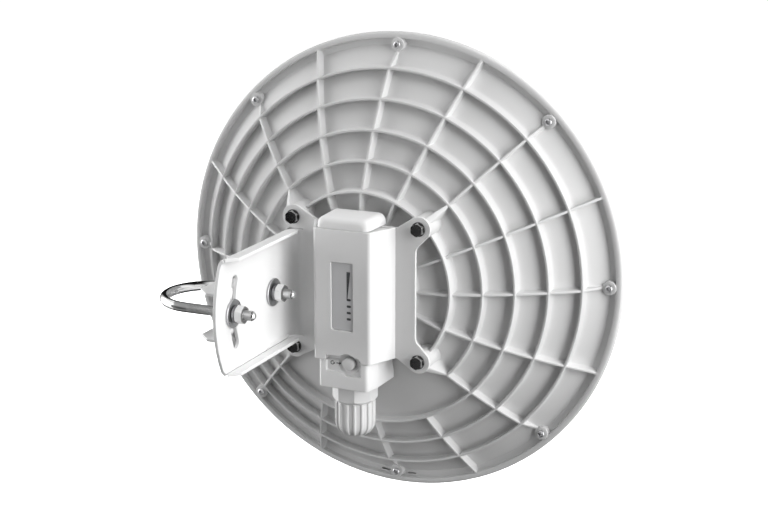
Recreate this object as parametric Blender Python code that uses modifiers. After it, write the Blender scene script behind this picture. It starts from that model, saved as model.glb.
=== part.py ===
"""A mast-mounted microwave dish antenna with its tilting bracket and U-bolt clamp.

World frame: the origin is on the axis of the mast, level with the dish's centre.
+Z is up, +Y is the way the dish looks, and +X runs from the mast towards the dish.
"""

import math

import bmesh
import bpy
from mathutils import Matrix, Vector

# Driving dimensions, in metres.
MM = 0.001

# Where the dish stands from the mast axis. The dish frame's origin is the centre of the rim screws.
DISH_FROM_MAST_X = 102.0 * MM
PIVOT_TO_DISH_Y = 119.2 * MM
LEG_SPACING = 67.7 * MM

# The dish moulding.
SCREW_CIRCLE_R = 190.0 * MM
RIM_R = 200.4 * MM
RIM_INNER_R = 195.3 * MM
RIM_BACK_Y = 3.5 * MM
RIM_FRONT_Y = 10.6 * MM
FLANGE_Y = 8.0 * MM
FLANGE_START_R = 189.4 * MM
WALL = 2.6 * MM
FLOOR_POLE_Y = -74.5 * MM
PARABOLA = 2.3
RIB_THICKNESS = 2.2 * MM
RIB_HEIGHT = 9.6 * MM
RING_THICKNESS = 2.4 * MM
RIB_COUNT = 16
TURN_STEPS = 48
FULL_RINGS = ((125.5 * MM, -48.4 * MM), (149.0 * MM, -33.2 * MM), (172.4 * MM, -16.3 * MM))
CUT_RINGS = ((49.3 * MM, -75.4 * MM), (79.0 * MM, -73.7 * MM), (102.0 * MM, -60.4 * MM))
HUB_R = 79.0 * MM
RIB_START_R = 48.5 * MM
LOW_RIB_START_R = 126.5 * MM
SECTOR_HALF_ANGLE = math.radians(44.8)
RIM_BOSS_R = 5.8 * MM
RIM_BOSS_Y = 1.9 * MM
SELF_TAPPER_BORE_R = 2.0 * MM
SLIT_R = 192.5 * MM
SLIT_WIDTH = 1.4 * MM
SLIT_DEGREES = (2.4, 5.0)

# The mounting plate and its bolts.
SHEET = 2.8 * MM
PLATE_Y = -83.0 * MM
BOLT_X = 56.06 * MM
BOLT_Z = 55.7 * MM
EAR_R = 10.0 * MM
BOSS_R = 9.5 * MM
BOLT_HOLE_R = 3.4 * MM
WEB_END_R = 88.5 * MM
WEB_FOOT_R = 101.0 * MM
SIDE_X = -60.0 * MM
BEND_R = 10.0 * MM
SIDE_HALF_HEIGHT = 47.6 * MM
SIDE_ARC_R = 94.4 * MM
FLANGE_BEND_R = 3.0 * MM
FLANGE_FREE_X = -46.5 * MM
FLANGE_BACK_Y = -94.0 * MM
FLANGE_CORNER = 7.5 * MM
SLOT_HALF_ANGLE = math.radians(22.0)
LEG_HOLE_R = 4.5 * MM

# The housing.
COVER_FRONT_Y = -109.5 * MM
COVER_TOP_Z = 55.2 * MM
COVER_BOTTOM_Z = -55.2 * MM
COVER_FRONT_HALF = 24.6 * MM
COVER_BACK_HALF = 36.4 * MM
COVER_WALL = 2.4 * MM
BODY_BOTTOM_Z = -78.8 * MM
BODY_BACK_Y = -63.0 * MM
BODY_FRONT_HALF = 23.0 * MM
BODY_MIDDLE_HALF = 25.2 * MM
BODY_BACK_HALF = 26.0 * MM
CORE_HALF_HEIGHT = 54.0 * MM
CORE_STEP = 0.8 * MM
NECK_HALF = 17.9 * MM
NECK_TOP_Z = 58.0 * MM
CAP_TOP_Z = 64.5 * MM
CAP_BACK_Y = -75.8 * MM
CAP_FRONT_HALF = 22.9 * MM
CAP_BACK_HALF = 24.4 * MM
CAP_SHOULDER_R = 6.5 * MM
CAP_CORNER_R = 5.0 * MM
BUTTON_PLACE = (4.5 * MM, -57.6 * MM)
BUTTON_R = 5.4 * MM

# The gland, on a vertical axis.
GLAND_Y = -84.0 * MM
GLAND_FLATS = 35.0 * MM
GLAND_BODY_BOTTOM_Z = -94.3 * MM
GLAND_NUT_R = 17.0 * MM
GLAND_NUT_BOTTOM_Z = -124.0 * MM
GLAND_BORE_R = 5.5 * MM

# The clamp.
ROD_R = 4.0 * MM
BEND_CENTRE_X = 2.5 * MM
STUD_END_X = 65.0 * MM
SADDLE_SHEET = 2.4 * MM
SADDLE_HALF_HEIGHT = 19.7 * MM
SADDLE_HALF_LENGTH = 51.4 * MM
SADDLE_JAW_X = 21.0 * MM
NOTCH_HALF = 15.0 * MM
NOTCH_DEPTH = 12.0 * MM

# The gap that stands for two faces touching.
GAP = 0.3 * MM

# The bosses and webs stop this close to the plate, and the inner collar's ribs lower still.
WEB_Y = PLATE_Y + SHEET + GAP
COLLAR_TOP_Y = -74.9 * MM


def clear_scene():
    for obj in list(bpy.data.objects):
        bpy.data.objects.remove(obj)


def new_collection(name):
    collection = bpy.data.collections.new(name)
    bpy.context.scene.collection.children.link(collection)
    return collection


def new_material(name, colour, roughness, metallic=0.0):
    material = bpy.data.materials.new(name)
    material.use_nodes = True
    shader = material.node_tree.nodes["Principled BSDF"]
    shader.inputs["Base Color"].default_value = (*colour, 1.0)
    shader.inputs["Roughness"].default_value = roughness
    shader.inputs["Metallic"].default_value = metallic
    material.diffuse_color = (*colour, 1.0)
    return material


clear_scene()
PARTS = new_collection("microwave_dish_antenna")
CUTTERS = new_collection("cutters")

DISH_PLASTIC = new_material("dish_plastic", (0.66, 0.66, 0.66), 0.5)
COVER_PLASTIC = new_material("cover_plastic", (0.8, 0.8, 0.8), 0.45)
GLAND_PLASTIC = new_material("gland_plastic", (0.7, 0.7, 0.7), 0.45)
LABEL_FILM = new_material("label_film", (0.62, 0.62, 0.62), 0.4)
SEAL_RUBBER = new_material("seal_rubber", (0.05, 0.05, 0.05), 0.8)
COATED_STEEL = new_material("coated_steel", (0.8, 0.8, 0.8), 0.4)
BOLT_STEEL = new_material("bolt_steel", (0.6, 0.6, 0.6), 0.25, 1.0)
CHROMED_STEEL = new_material("chromed_steel", (0.75, 0.75, 0.76), 0.1, 1.0)


def new_empty(name, location, parent=None):
    empty = bpy.data.objects.new(name, None)
    empty.location = location
    empty.parent = parent
    PARTS.objects.link(empty)
    return empty


# The dish assembly hangs on an empty whose X axis is the tilt joint's axis.
PIVOT_Y = LEG_SPACING / 2
TILT_AXIS = new_empty("tilt_axis", (DISH_FROM_MAST_X + SIDE_X, PIVOT_Y, 0.0))
DISH_FRAME = new_empty("dish_frame", (-SIDE_X, PIVOT_TO_DISH_Y, 0.0), TILT_AXIS)


def place(obj, material, location=(0.0, 0.0, 0.0), parent=DISH_FRAME):
    """Make the object a part of the antenna."""
    obj.data.materials.clear()
    obj.data.materials.append(material)
    obj.location = location
    obj.parent = parent
    for collection in list(obj.users_collection):
        collection.objects.unlink(obj)
    PARTS.objects.link(obj)
    obj.data.shade_smooth()
    obj.data.set_sharp_from_angle(angle=math.radians(35))
    return obj


def as_cutter(obj, parent=DISH_FRAME):
    """Keep the object as a tool for a boolean, out of the build."""
    obj.hide_render = True
    obj.display_type = "WIRE"
    obj.parent = parent
    return obj


def new_object(name, mesh):
    obj = bpy.data.objects.new(name, mesh)
    CUTTERS.objects.link(obj)
    return obj


def from_bmesh(name, bm):
    mesh = bpy.data.meshes.new(name)
    bmesh.ops.recalc_face_normals(bm, faces=bm.faces[:])
    bm.to_mesh(mesh)
    bm.free()
    return new_object(name, mesh)


def boolean(obj, other, operation):
    modifier = obj.modifiers.new(f"{operation.lower()}_{other.name}", "BOOLEAN")
    modifier.operation = operation
    modifier.object = other
    modifier.solver = "EXACT"


def evaluated_copy(obj):
    """Turn an object with its modifiers, or a curve, into a plain mesh object with welded seams."""
    bpy.context.view_layer.update()
    depsgraph = bpy.context.evaluated_depsgraph_get()
    mesh = bpy.data.meshes.new_from_object(obj.evaluated_get(depsgraph))
    bm = bmesh.new()
    bm.from_mesh(mesh)
    bmesh.ops.remove_doubles(bm, verts=bm.verts[:], dist=1e-6)
    bmesh.ops.recalc_face_normals(bm, faces=bm.faces[:])
    bm.to_mesh(mesh)
    bm.free()
    solid = new_object(obj.name, mesh)
    solid.matrix_world = obj.matrix_world.copy()
    name = obj.name
    bpy.data.objects.remove(obj)
    solid.name = name
    return solid


def plate_mesh(name, outline, thickness):
    """A flat outline of (x, y) points as a plate about the XY plane."""
    curve = bpy.data.curves.new(name, "CURVE")
    curve.dimensions = "2D"
    curve.fill_mode = "BOTH"
    curve.extrude = thickness / 2
    spline = curve.splines.new("POLY")
    spline.points.add(len(outline) - 1)
    for point, (x, y) in zip(spline.points, outline):
        point.co = (x, y, 0.0, 1.0)
    spline.use_cyclic_u = True
    return evaluated_copy(new_object(name, curve))


# Each of these turns a plate's own X, Y and thickness into two axes of the dish frame and the third.
XZ_PLATE = Matrix.Rotation(math.pi / 2, 4, "X")
YZ_PLATE = Matrix(((0, 0, 1, 0), (1, 0, 0, 0), (0, 1, 0, 0), (0, 0, 0, 1)))


def prism(name, outline, low, high, turn=Matrix.Identity(4)):
    """A plate between two heights along the third axis, turned into place."""
    obj = plate_mesh(name, outline, high - low)
    obj.data.transform(turn @ Matrix.Translation((0.0, 0.0, (low + high) / 2)))
    return obj


def xz_prism(name, outline, low_y, high_y):
    """An outline of (x, z) points between two places along Y."""
    return prism(name, outline, -high_y, -low_y, XZ_PLATE)


def yz_prism(name, outline, low_x, high_x):
    """An outline of (y, z) points between two places along X."""
    return prism(name, outline, low_x, high_x, YZ_PLATE)


def arc(centre, radius, start, end, steps):
    """Points along an arc, with the angles in degrees."""
    points = []
    for step in range(steps + 1):
        angle = math.radians(start + (end - start) * step / steps)
        points.append((centre[0] + radius * math.cos(angle), centre[1] + radius * math.sin(angle)))
    return points


def turned(name, loops, steps=TURN_STEPS):
    """Turn profiles of (radius, height) about +Z. A profile off the axis is closed into a ring."""
    mesh = bpy.data.meshes.new(name)
    bm = bmesh.new()
    for profile in loops:
        verts = [bm.verts.new((radius, 0.0, height)) for radius, height in profile]
        for first, second in zip(verts, verts[1:]):
            bm.edges.new((first, second))
        if profile[0][0] > 0:
            bm.edges.new((verts[-1], verts[0]))
    bm.to_mesh(mesh)
    bm.free()
    obj = new_object(name, mesh)
    screw = obj.modifiers.new("turn", "SCREW")
    screw.axis = "Z"
    screw.angle = math.tau
    screw.steps = steps
    screw.render_steps = steps
    screw.use_merge_vertices = True
    screw.merge_threshold = 0.00001
    return evaluated_copy(obj)


def turned_about(axis, name, loops, steps=TURN_STEPS):
    """A turned solid whose own heights run along the axis given."""
    obj = turned(name, loops, steps)
    obj.data.transform(Vector((0, 0, 1)).rotation_difference(Vector(axis)).to_matrix().to_4x4())
    return obj


def cylinders(name, centres, radius, low, high, segments):
    """Equal cylinders along Y at (x, z) centres, in one mesh."""
    bm = bmesh.new()
    turn = Matrix.Rotation(math.pi / 2, 4, "X") @ Matrix.Rotation(math.pi / segments, 4, "Z")
    for x, z in centres:
        move = Matrix.Translation((x, (low + high) / 2, z))
        bmesh.ops.create_cone(
            bm, cap_ends=True, segments=segments, radius1=radius, radius2=radius,
            depth=high - low, matrix=move @ turn,
        )
    return from_bmesh(name, bm)


def floor_y(radius):
    """The back face of the dish's wall."""
    return FLOOR_POLE_Y + PARABOLA * radius * radius


def around(radius, degrees):
    angle = math.radians(degrees)
    return (radius * math.cos(angle), radius * math.sin(angle))


RIM_SCREW_PLACES = [around(SCREW_CIRCLE_R, 45 * number) for number in range(8)]
BOLT_PLACES = [(sx * BOLT_X, sz * BOLT_Z) for sx, sz in ((-1, 1), (1, 1), (1, -1), (-1, -1))]


def dish_wall_profile():
    """From the front pole out to the rim and back to the back pole, with the three full rings."""
    front_radii = [radius * MM for radius in (0, 25, 50, 75, 98, 118, 138, 157, 174)]
    front = [(radius, floor_y(radius) + WALL) for radius in front_radii]
    rim = [
        (FLANGE_START_R, RIM_FRONT_Y),
        (RIM_R, RIM_FRONT_Y),
        (RIM_R, RIM_BACK_Y + 2.0 * MM),
        (RIM_R - 1.0 * MM, RIM_BACK_Y + 0.6 * MM),
        (RIM_INNER_R, RIM_BACK_Y),
        (RIM_INNER_R - 0.8 * MM, FLANGE_Y),
        (FLANGE_START_R, FLANGE_Y),
        (FLANGE_START_R - 1.6 * MM, floor_y(FLANGE_START_R - 1.6 * MM)),
    ]
    back = []
    for radius, top in reversed(FULL_RINGS):
        half = RING_THICKNESS / 2
        back += [
            (radius + half + 0.4 * MM, floor_y(radius + half + 0.4 * MM)),
            (radius + half, top),
            (radius - half, top),
            (radius - half - 0.4 * MM, floor_y(radius - half - 0.4 * MM)),
            (radius - 12 * MM, floor_y(radius - 12 * MM)),
        ]
    back += [(radius * MM, floor_y(radius * MM)) for radius in (98, 75, 50, 25, 0)]
    return front + rim + back


def rib_outline(start, has_web, end_points):
    """A rib from a start radius, its foot inside the dish's wall, its top following the wall.

    A rib that carries a bolt boss first runs level with the boss, as a web.
    """
    middle = WALL / 2
    ring_radii = [ring[0] for ring in CUT_RINGS[1:] + FULL_RINGS]
    crossed = [radius for radius in ring_radii if radius > start + 6 * MM]
    if has_web:
        top = [(start, COLLAR_TOP_Y), (HUB_R - BOSS_R, WEB_Y), (WEB_END_R, WEB_Y)]
        top += [(WEB_FOOT_R, floor_y(WEB_FOOT_R) - RIB_HEIGHT)]
    elif start < HUB_R:
        top = [(start, COLLAR_TOP_Y), (HUB_R, -72.4 * MM), (HUB_R + 1.0 * MM, floor_y(HUB_R) - RIB_HEIGHT)]
    else:
        top = [(start, floor_y(start) - RIB_HEIGHT)]
    top += [(radius, floor_y(radius) - RIB_HEIGHT) for radius in crossed if radius > top[-1][0]]
    foot_radii = [start] + crossed + [186 * MM]
    foot = [(radius, floor_y(radius) + middle) for radius in foot_radii]
    foot += [(SCREW_CIRCLE_R, FLANGE_Y + middle), (RIM_INNER_R + 1.5 * MM, FLANGE_Y + middle)]
    return top + end_points + list(reversed(foot))


def dish_ribs():
    """Sixteen radial ribs. Every other one falls to a screw boss, and those below start outside.

    A rib's plate holds its radius along X and its height along Y, so it only has to be turned about Y.
    """
    boss_end = [
        (SCREW_CIRCLE_R - RIM_BOSS_R, RIM_BOSS_Y - 0.3 * MM),
        (SCREW_CIRCLE_R - RIM_BOSS_R + 1.0 * MM, RIM_BOSS_Y + 0.8 * MM),
        (RIM_INNER_R + 1.5 * MM, RIM_BACK_Y + 0.9 * MM),
    ]
    wall_end = [(RIM_INNER_R + 1.5 * MM, RIM_BACK_Y + 0.9 * MM)]
    bm = bmesh.new()
    for number in range(RIB_COUNT):
        degrees = 360 / RIB_COUNT * number
        below = abs(degrees - 270) < 40
        start = LOW_RIB_START_R if below else RIB_START_R
        end_points = boss_end if number % 2 == 0 else wall_end
        rib = plate_mesh("rib", rib_outline(start, number % 4 == 2, end_points), RIB_THICKNESS)
        rib.data.transform(Matrix.Rotation(math.radians(-degrees), 4, "Y"))
        bm.from_mesh(rib.data)
        bpy.data.objects.remove(rib)
    return from_bmesh("dish_ribs", bm)


def dish_bosses():
    """Screw and bolt bosses, trimmed to end inside the dish's wall."""
    rim = cylinders("rim_bosses", RIM_SCREW_PLACES, RIM_BOSS_R, RIM_BOSS_Y, 12 * MM, 16)
    hub = cylinders("bolt_bosses", BOLT_PLACES, BOSS_R, WEB_Y, -50 * MM, 20)
    bm = bmesh.new()
    for obj in (rim, hub):
        bm.from_mesh(obj.data)
        bpy.data.objects.remove(obj)
    bosses = from_bmesh("dish_bosses", bm)
    radii = [radius * MM for radius in (0, 25, 50, 75, 98, 118, 138, 157, 174, 186)]
    middle = [(radius, floor_y(radius) + WALL / 2) for radius in radii]
    middle += [(SCREW_CIRCLE_R, FLANGE_Y + WALL / 2), (RIM_R - 2 * MM, FLANGE_Y + WALL / 2)]
    behind = [(RIM_R - 2 * MM, -90 * MM), (0.0, -90 * MM)]
    backing = as_cutter(turned_about((0, 1, 0), "boss_backing", [middle + behind]))
    boolean(bosses, backing, "INTERSECT")
    return as_cutter(bosses)


def cut_rings():
    """The three inner rings, open in the smooth sector below the hub."""
    loops = []
    for radius, top in CUT_RINGS:
        half = RING_THICKNESS / 2
        foot = floor_y(radius) + WALL / 2
        inner, outer = radius - half, radius + half
        loops.append([(inner, foot), (outer, foot), (outer, top), (inner, top)])
    rings = turned_about((0, 1, 0), "cut_rings", loops)
    rings.data.transform(Matrix.Rotation(math.pi / TURN_STEPS, 4, "Y"))
    reach = 160 * MM
    spread = reach * math.tan(SECTOR_HALF_ANGLE)
    sector = xz_prism("smooth_sector", [(0, 0), (-spread, -reach), (spread, -reach)], -90 * MM, -30 * MM)
    boolean(rings, as_cutter(sector), "DIFFERENCE")
    return as_cutter(rings)


def make_dish():
    dish = turned_about((0, 1, 0), "reflector_shell", [dish_wall_profile()])
    place(dish, DISH_PLASTIC)
    boolean(dish, cut_rings(), "UNION")
    boolean(dish, as_cutter(dish_ribs()), "UNION")
    boolean(dish, dish_bosses(), "UNION")
    bores = cylinders("rim_bores", RIM_SCREW_PLACES, SELF_TAPPER_BORE_R, -2 * MM, 14 * MM, 12)
    boolean(dish, as_cutter(bores), "DIFFERENCE")
    bolt_bores = cylinders("bolt_bores", BOLT_PLACES, BOLT_HOLE_R, -90 * MM, -66 * MM, 12)
    boolean(dish, as_cutter(bolt_bores), "DIFFERENCE")
    for side in (-1, 1):
        start, end = (270 + side * degrees for degrees in SLIT_DEGREES)
        slit = arc((0, 0), SLIT_R + SLIT_WIDTH / 2, start, end, 2)
        slit += arc((0, 0), SLIT_R - SLIT_WIDTH / 2, end, start, 2)
        cutter = xz_prism(f"drain_slit_{side}", slit, FLANGE_Y - 2 * MM, RIM_FRONT_Y + 2 * MM)
        boolean(dish, as_cutter(cutter), "DIFFERENCE")


def make_radome():
    """A shallow domed cover over the front, with a thick rim that takes the screws."""
    seat = RIM_FRONT_Y + GAP
    rim_top = seat + 4.6 * MM
    inner_r = 183 * MM
    dome_height = 15 * MM
    skin = 2.0 * MM
    radii = [radius * MM for radius in (0, 35, 70, 105, 140, 170)]
    top = [(radius, rim_top + dome_height * (1 - (radius / inner_r) ** 2)) for radius in radii]
    edge = [
        (RIM_R - 8 * MM, rim_top),
        (RIM_R - 2 * MM, rim_top - 0.6 * MM),
        (RIM_R - 0.4 * MM, rim_top - 2.0 * MM),
        (RIM_R - 0.4 * MM, seat),
        (inner_r, seat),
    ]
    under = [(radius, height - skin) for radius, height in reversed(top)]
    radome = turned_about((0, 1, 0), "radome", [top + edge + under])
    place(radome, COVER_PLASTIC)
    depth = seat + 3.4 * MM
    bores = cylinders("radome_bores", RIM_SCREW_PLACES, SELF_TAPPER_BORE_R, seat - 3 * MM, depth, 12)
    boolean(radome, as_cutter(bores), "DIFFERENCE")


def make_rim_screws():
    """Pan-head screws from behind, through the bosses into the radome's rim."""
    head_r = 3.2 * MM
    shank_r = 1.65 * MM
    seat = RIM_BOSS_Y - GAP
    profile = [
        (0.0, 14.0 * MM),
        (shank_r, 14.0 * MM),
        (shank_r, seat),
        (head_r, seat),
        (head_r, seat - 1.1 * MM),
        (head_r - 0.8 * MM, seat - 1.9 * MM),
        (1.3 * MM, seat - 2.1 * MM),
        (1.0 * MM, seat - 1.2 * MM),
        (0.0, seat - 1.0 * MM),
    ]
    for number, (x, z) in enumerate(RIM_SCREW_PLACES, start=1):
        screw = turned_about((0, 1, 0), f"rim_screw_{number}", [profile], 12)
        place(screw, BOLT_STEEL, (x, 0.0, z))


def back_plate_outline():
    """The flat back plate in (x, z), counterclockwise from the top left of the cover."""
    bend_x = SIDE_X + SHEET + BEND_R
    right_x = 53.4 * MM
    upper = [(bend_x - 0.5 * MM, 46.0 * MM)]
    upper += arc((-BOLT_X, BOLT_Z), EAR_R, 270, 60, 12)
    upper += [(-34.1 * MM, 54.9 * MM), (36.9 * MM, 55.1 * MM)]
    upper += arc((BOLT_X, BOLT_Z), EAR_R, 128, -42, 10)
    upper += [(right_x, 38.6 * MM)]
    lower = [(x, -z) for x, z in reversed(upper)]
    return upper + lower


def make_mounting_plate():
    """One bent sheet: back plate with ears, a wide bend, and the flanged side plate with its slot."""
    plate = xz_prism("mounting_plate", back_plate_outline(), PLATE_Y, PLATE_Y + SHEET)
    place(plate, COATED_STEEL)
    inner_x = SIDE_X + SHEET
    bend_centre = (inner_x + BEND_R, PLATE_Y - BEND_R)
    overlap = 3.0 * MM
    outer = arc(bend_centre, BEND_R + SHEET, 90, 180, 8)
    inner = arc(bend_centre, BEND_R, 180, 90, 8)
    start_x = bend_centre[0] + 0.6 * MM
    end_y = FLANGE_BACK_Y - overlap
    bend_section = [(start_x, PLATE_Y + SHEET)] + outer + [(SIDE_X, end_y), (inner_x, end_y)]
    bend_section += inner + [(start_x, PLATE_Y)]
    bend_half = SIDE_HALF_HEIGHT - SHEET - FLANGE_BEND_R + 3.6 * MM
    bend = prism("plate_bend", bend_section, -bend_half, bend_half)
    boolean(plate, as_cutter(bend), "UNION")

    corner_z = SIDE_HALF_HEIGHT - SHEET - FLANGE_BEND_R
    corner_x = inner_x + FLANGE_BEND_R
    outer_r = FLANGE_BEND_R + SHEET
    upper = arc((corner_x, corner_z), outer_r, 180, 90, 4)
    upper += [(FLANGE_FREE_X, SIDE_HALF_HEIGHT), (FLANGE_FREE_X, SIDE_HALF_HEIGHT - SHEET)]
    upper += arc((corner_x, corner_z), FLANGE_BEND_R, 90, 180, 4)
    section = upper + [(x, -z) for x, z in reversed(upper)]
    far_y = -PIVOT_TO_DISH_Y - SIDE_ARC_R - 2 * MM
    channel = xz_prism("side_channel", section, far_y, FLANGE_BACK_Y)
    half_angle = math.degrees(math.asin((SIDE_HALF_HEIGHT + 2 * MM) / SIDE_ARC_R))
    edge = arc((-PIVOT_TO_DISH_Y, 0.0), SIDE_ARC_R, 180 - half_angle, 180 + half_angle, 14)
    side_outline = [(-80 * MM, edge[0][1])] + edge + [(-80 * MM, edge[-1][1])]
    outline = yz_prism("side_outline", side_outline, -70 * MM, -40 * MM)
    boolean(channel, as_cutter(outline), "INTERSECT")
    tip_y = -PIVOT_TO_DISH_Y - math.sqrt(SIDE_ARC_R ** 2 - SIDE_HALF_HEIGHT ** 2)
    past = 2 * MM
    corner = [(FLANGE_FREE_X - FLANGE_CORNER - past, tip_y - past), (FLANGE_FREE_X + past, tip_y - past)]
    corner += [(FLANGE_FREE_X + past, tip_y + FLANGE_CORNER + past)]
    corners = prism("flange_corners", corner, -60 * MM, 60 * MM)
    boolean(channel, as_cutter(corners), "DIFFERENCE")
    boolean(plate, as_cutter(channel), "UNION")

    slot_degrees = math.degrees(SLOT_HALF_ANGLE)
    centre = (-PIVOT_TO_DISH_Y, 0.0)
    slot = arc(centre, LEG_SPACING + LEG_HOLE_R, 180 - slot_degrees, 180 + slot_degrees, 8)
    lower_end = around(LEG_SPACING, 180 + slot_degrees)
    upper_end = around(LEG_SPACING, 180 - slot_degrees)
    lower_end = (lower_end[0] + centre[0], lower_end[1])
    upper_end = (upper_end[0] + centre[0], upper_end[1])
    slot += arc(lower_end, LEG_HOLE_R, 180 + slot_degrees, 360 + slot_degrees, 6)[1:-1]
    slot += arc(centre, LEG_SPACING - LEG_HOLE_R, 180 + slot_degrees, 180 - slot_degrees, 8)
    slot += arc(upper_end, LEG_HOLE_R, -slot_degrees, 180 - slot_degrees, 6)[1:-1]
    boolean(plate, as_cutter(yz_prism("arc_slot", slot, -70 * MM, -50 * MM)), "DIFFERENCE")
    pivot_hole = arc(centre, LEG_HOLE_R, 0, 345, 23)
    boolean(plate, as_cutter(yz_prism("pivot_hole", pivot_hole, -70 * MM, -50 * MM)), "DIFFERENCE")
    holes = cylinders("ear_holes", BOLT_PLACES, BOLT_HOLE_R, -90 * MM, -75 * MM, 12)
    boolean(plate, as_cutter(holes), "DIFFERENCE")


def make_plate_bolts():
    """Hexagon flange bolts through the ears into the hub's bosses."""
    seat = PLATE_Y - GAP
    flange = [
        (0.0, -68.0 * MM),
        (3.0 * MM, -68.0 * MM),
        (3.0 * MM, seat),
        (5.95 * MM, seat),
        (5.95 * MM, seat - 1.4 * MM),
        (0.0, seat - 1.4 * MM),
    ]
    for number, (x, z) in enumerate(BOLT_PLACES, start=1):
        bolt = turned_about((0, 1, 0), f"plate_bolt_{number}", [flange], 18)
        place(bolt, BOLT_STEEL, (x, 0.0, z))
        head = cylinders(f"bolt_head_{number}", [(0.0, 0.0)], 5.77 * MM, -88.2 * MM, seat - 1.0 * MM, 6)
        as_cutter(head).location = (x, 0.0, z)
        boolean(bolt, head, "UNION")


def cover_half(y):
    """Half the cover's width at a place along Y: it narrows towards the front."""
    run = (y - COVER_FRONT_Y) / (PLATE_Y - COVER_FRONT_Y)
    return COVER_FRONT_HALF + (COVER_BACK_HALF - COVER_FRONT_HALF) * run


def cover_section(inset, front_y, back_y, corner):
    """The cover's section in (x, y), with its two front corners rounded by short arcs."""
    front_half = cover_half(COVER_FRONT_Y) - inset
    slope = (COVER_BACK_HALF - COVER_FRONT_HALF) / (PLATE_Y - COVER_FRONT_Y)
    front_half += slope * (front_y - COVER_FRONT_Y)
    back_half = front_half + slope * (back_y - front_y)
    lean = math.degrees(math.atan(slope))
    reach = corner * math.tan(math.radians((90 - lean) / 2))
    centre = (front_half - reach, front_y + corner)
    right = [(back_half, back_y)] + arc(centre, corner, -lean, -90, 4)
    left = [(-x, y) for x, y in reversed(right)]
    return right + left


def make_cover():
    """The housing's cover: a front and two sloping sides, open at the top, bottom and back."""
    back_y = PLATE_Y - GAP
    section = cover_section(0.0, COVER_FRONT_Y, back_y, 2.5 * MM)
    cover = prism("housing_cover", section, COVER_BOTTOM_Z, COVER_TOP_Z)
    place(cover, COVER_PLASTIC)
    inner = cover_section(COVER_WALL * 1.1, COVER_FRONT_Y + COVER_WALL, back_y + 2 * MM, 1.2 * MM)
    hollow = prism("cover_hollow", inner, COVER_BOTTOM_Z - 5 * MM, COVER_TOP_Z + 5 * MM)
    boolean(cover, as_cutter(hollow), "DIFFERENCE")
    window = xz_prism("label_window", box_outline(-9.4, 9.9, -28.8, 28.3), -112 * MM, -106 * MM)
    boolean(cover, as_cutter(window), "DIFFERENCE")
    notch = [(-15.0, -60.0), (-15.0, -50.3), (-1.5, -50.0), (1.5, -48.8), (5.0, -48.2), (9.0, -49.0)]
    notch += [(12.0, -50.5), (15.0, -51.0), (17.0, -55.5), (17.0, -60.0)]
    notch = [(x * MM, z * MM) for x, z in notch]
    opening = xz_prism("button_notch", notch, -112 * MM, -106 * MM)
    boolean(cover, as_cutter(opening), "DIFFERENCE")


def box_outline(low_x, high_x, low_z, high_z):
    corners = [(low_x, low_z), (high_x, low_z), (high_x, high_z), (low_x, high_z)]
    return [(x * MM, z * MM) for x, z in corners]


def core_cap(front_y):
    """The cap over the cover: it reaches back past the plate's top edge and has rounded upper edges."""
    corner = CAP_CORNER_R
    right = [(CAP_BACK_HALF, CAP_BACK_Y)]
    right += arc((CAP_FRONT_HALF - corner, front_y + corner), corner, 0, -90, 5)
    cap = prism("core_cap", right + [(-x, y) for x, y in reversed(right)], COVER_TOP_Z + GAP, CAP_TOP_Z)

    beyond = 3 * MM
    crown_z = CAP_TOP_Z - corner
    crown = [(front_y - beyond, CAP_TOP_Z + beyond), (front_y - beyond, crown_z)]
    crown += arc((front_y + corner, crown_z), corner, 180, 90, 5)
    crown += [(front_y + corner, CAP_TOP_Z + beyond)]
    boolean(cap, as_cutter(yz_prism("cap_crown", crown, -40 * MM, 40 * MM)), "DIFFERENCE")

    shoulder_x = CAP_BACK_HALF - CAP_SHOULDER_R
    shoulder_z = CAP_TOP_Z - CAP_SHOULDER_R
    right = [(45 * MM, 50 * MM), (45 * MM, shoulder_z)]
    right += arc((shoulder_x, shoulder_z), CAP_SHOULDER_R, 0, 90, 5)
    shoulders = right + [(-x, z) for x, z in reversed(right)]
    outline = xz_prism("cap_shoulders", shoulders, -115 * MM, CAP_BACK_Y + beyond)
    boolean(cap, as_cutter(outline), "INTERSECT")
    return as_cutter(cap)


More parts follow.
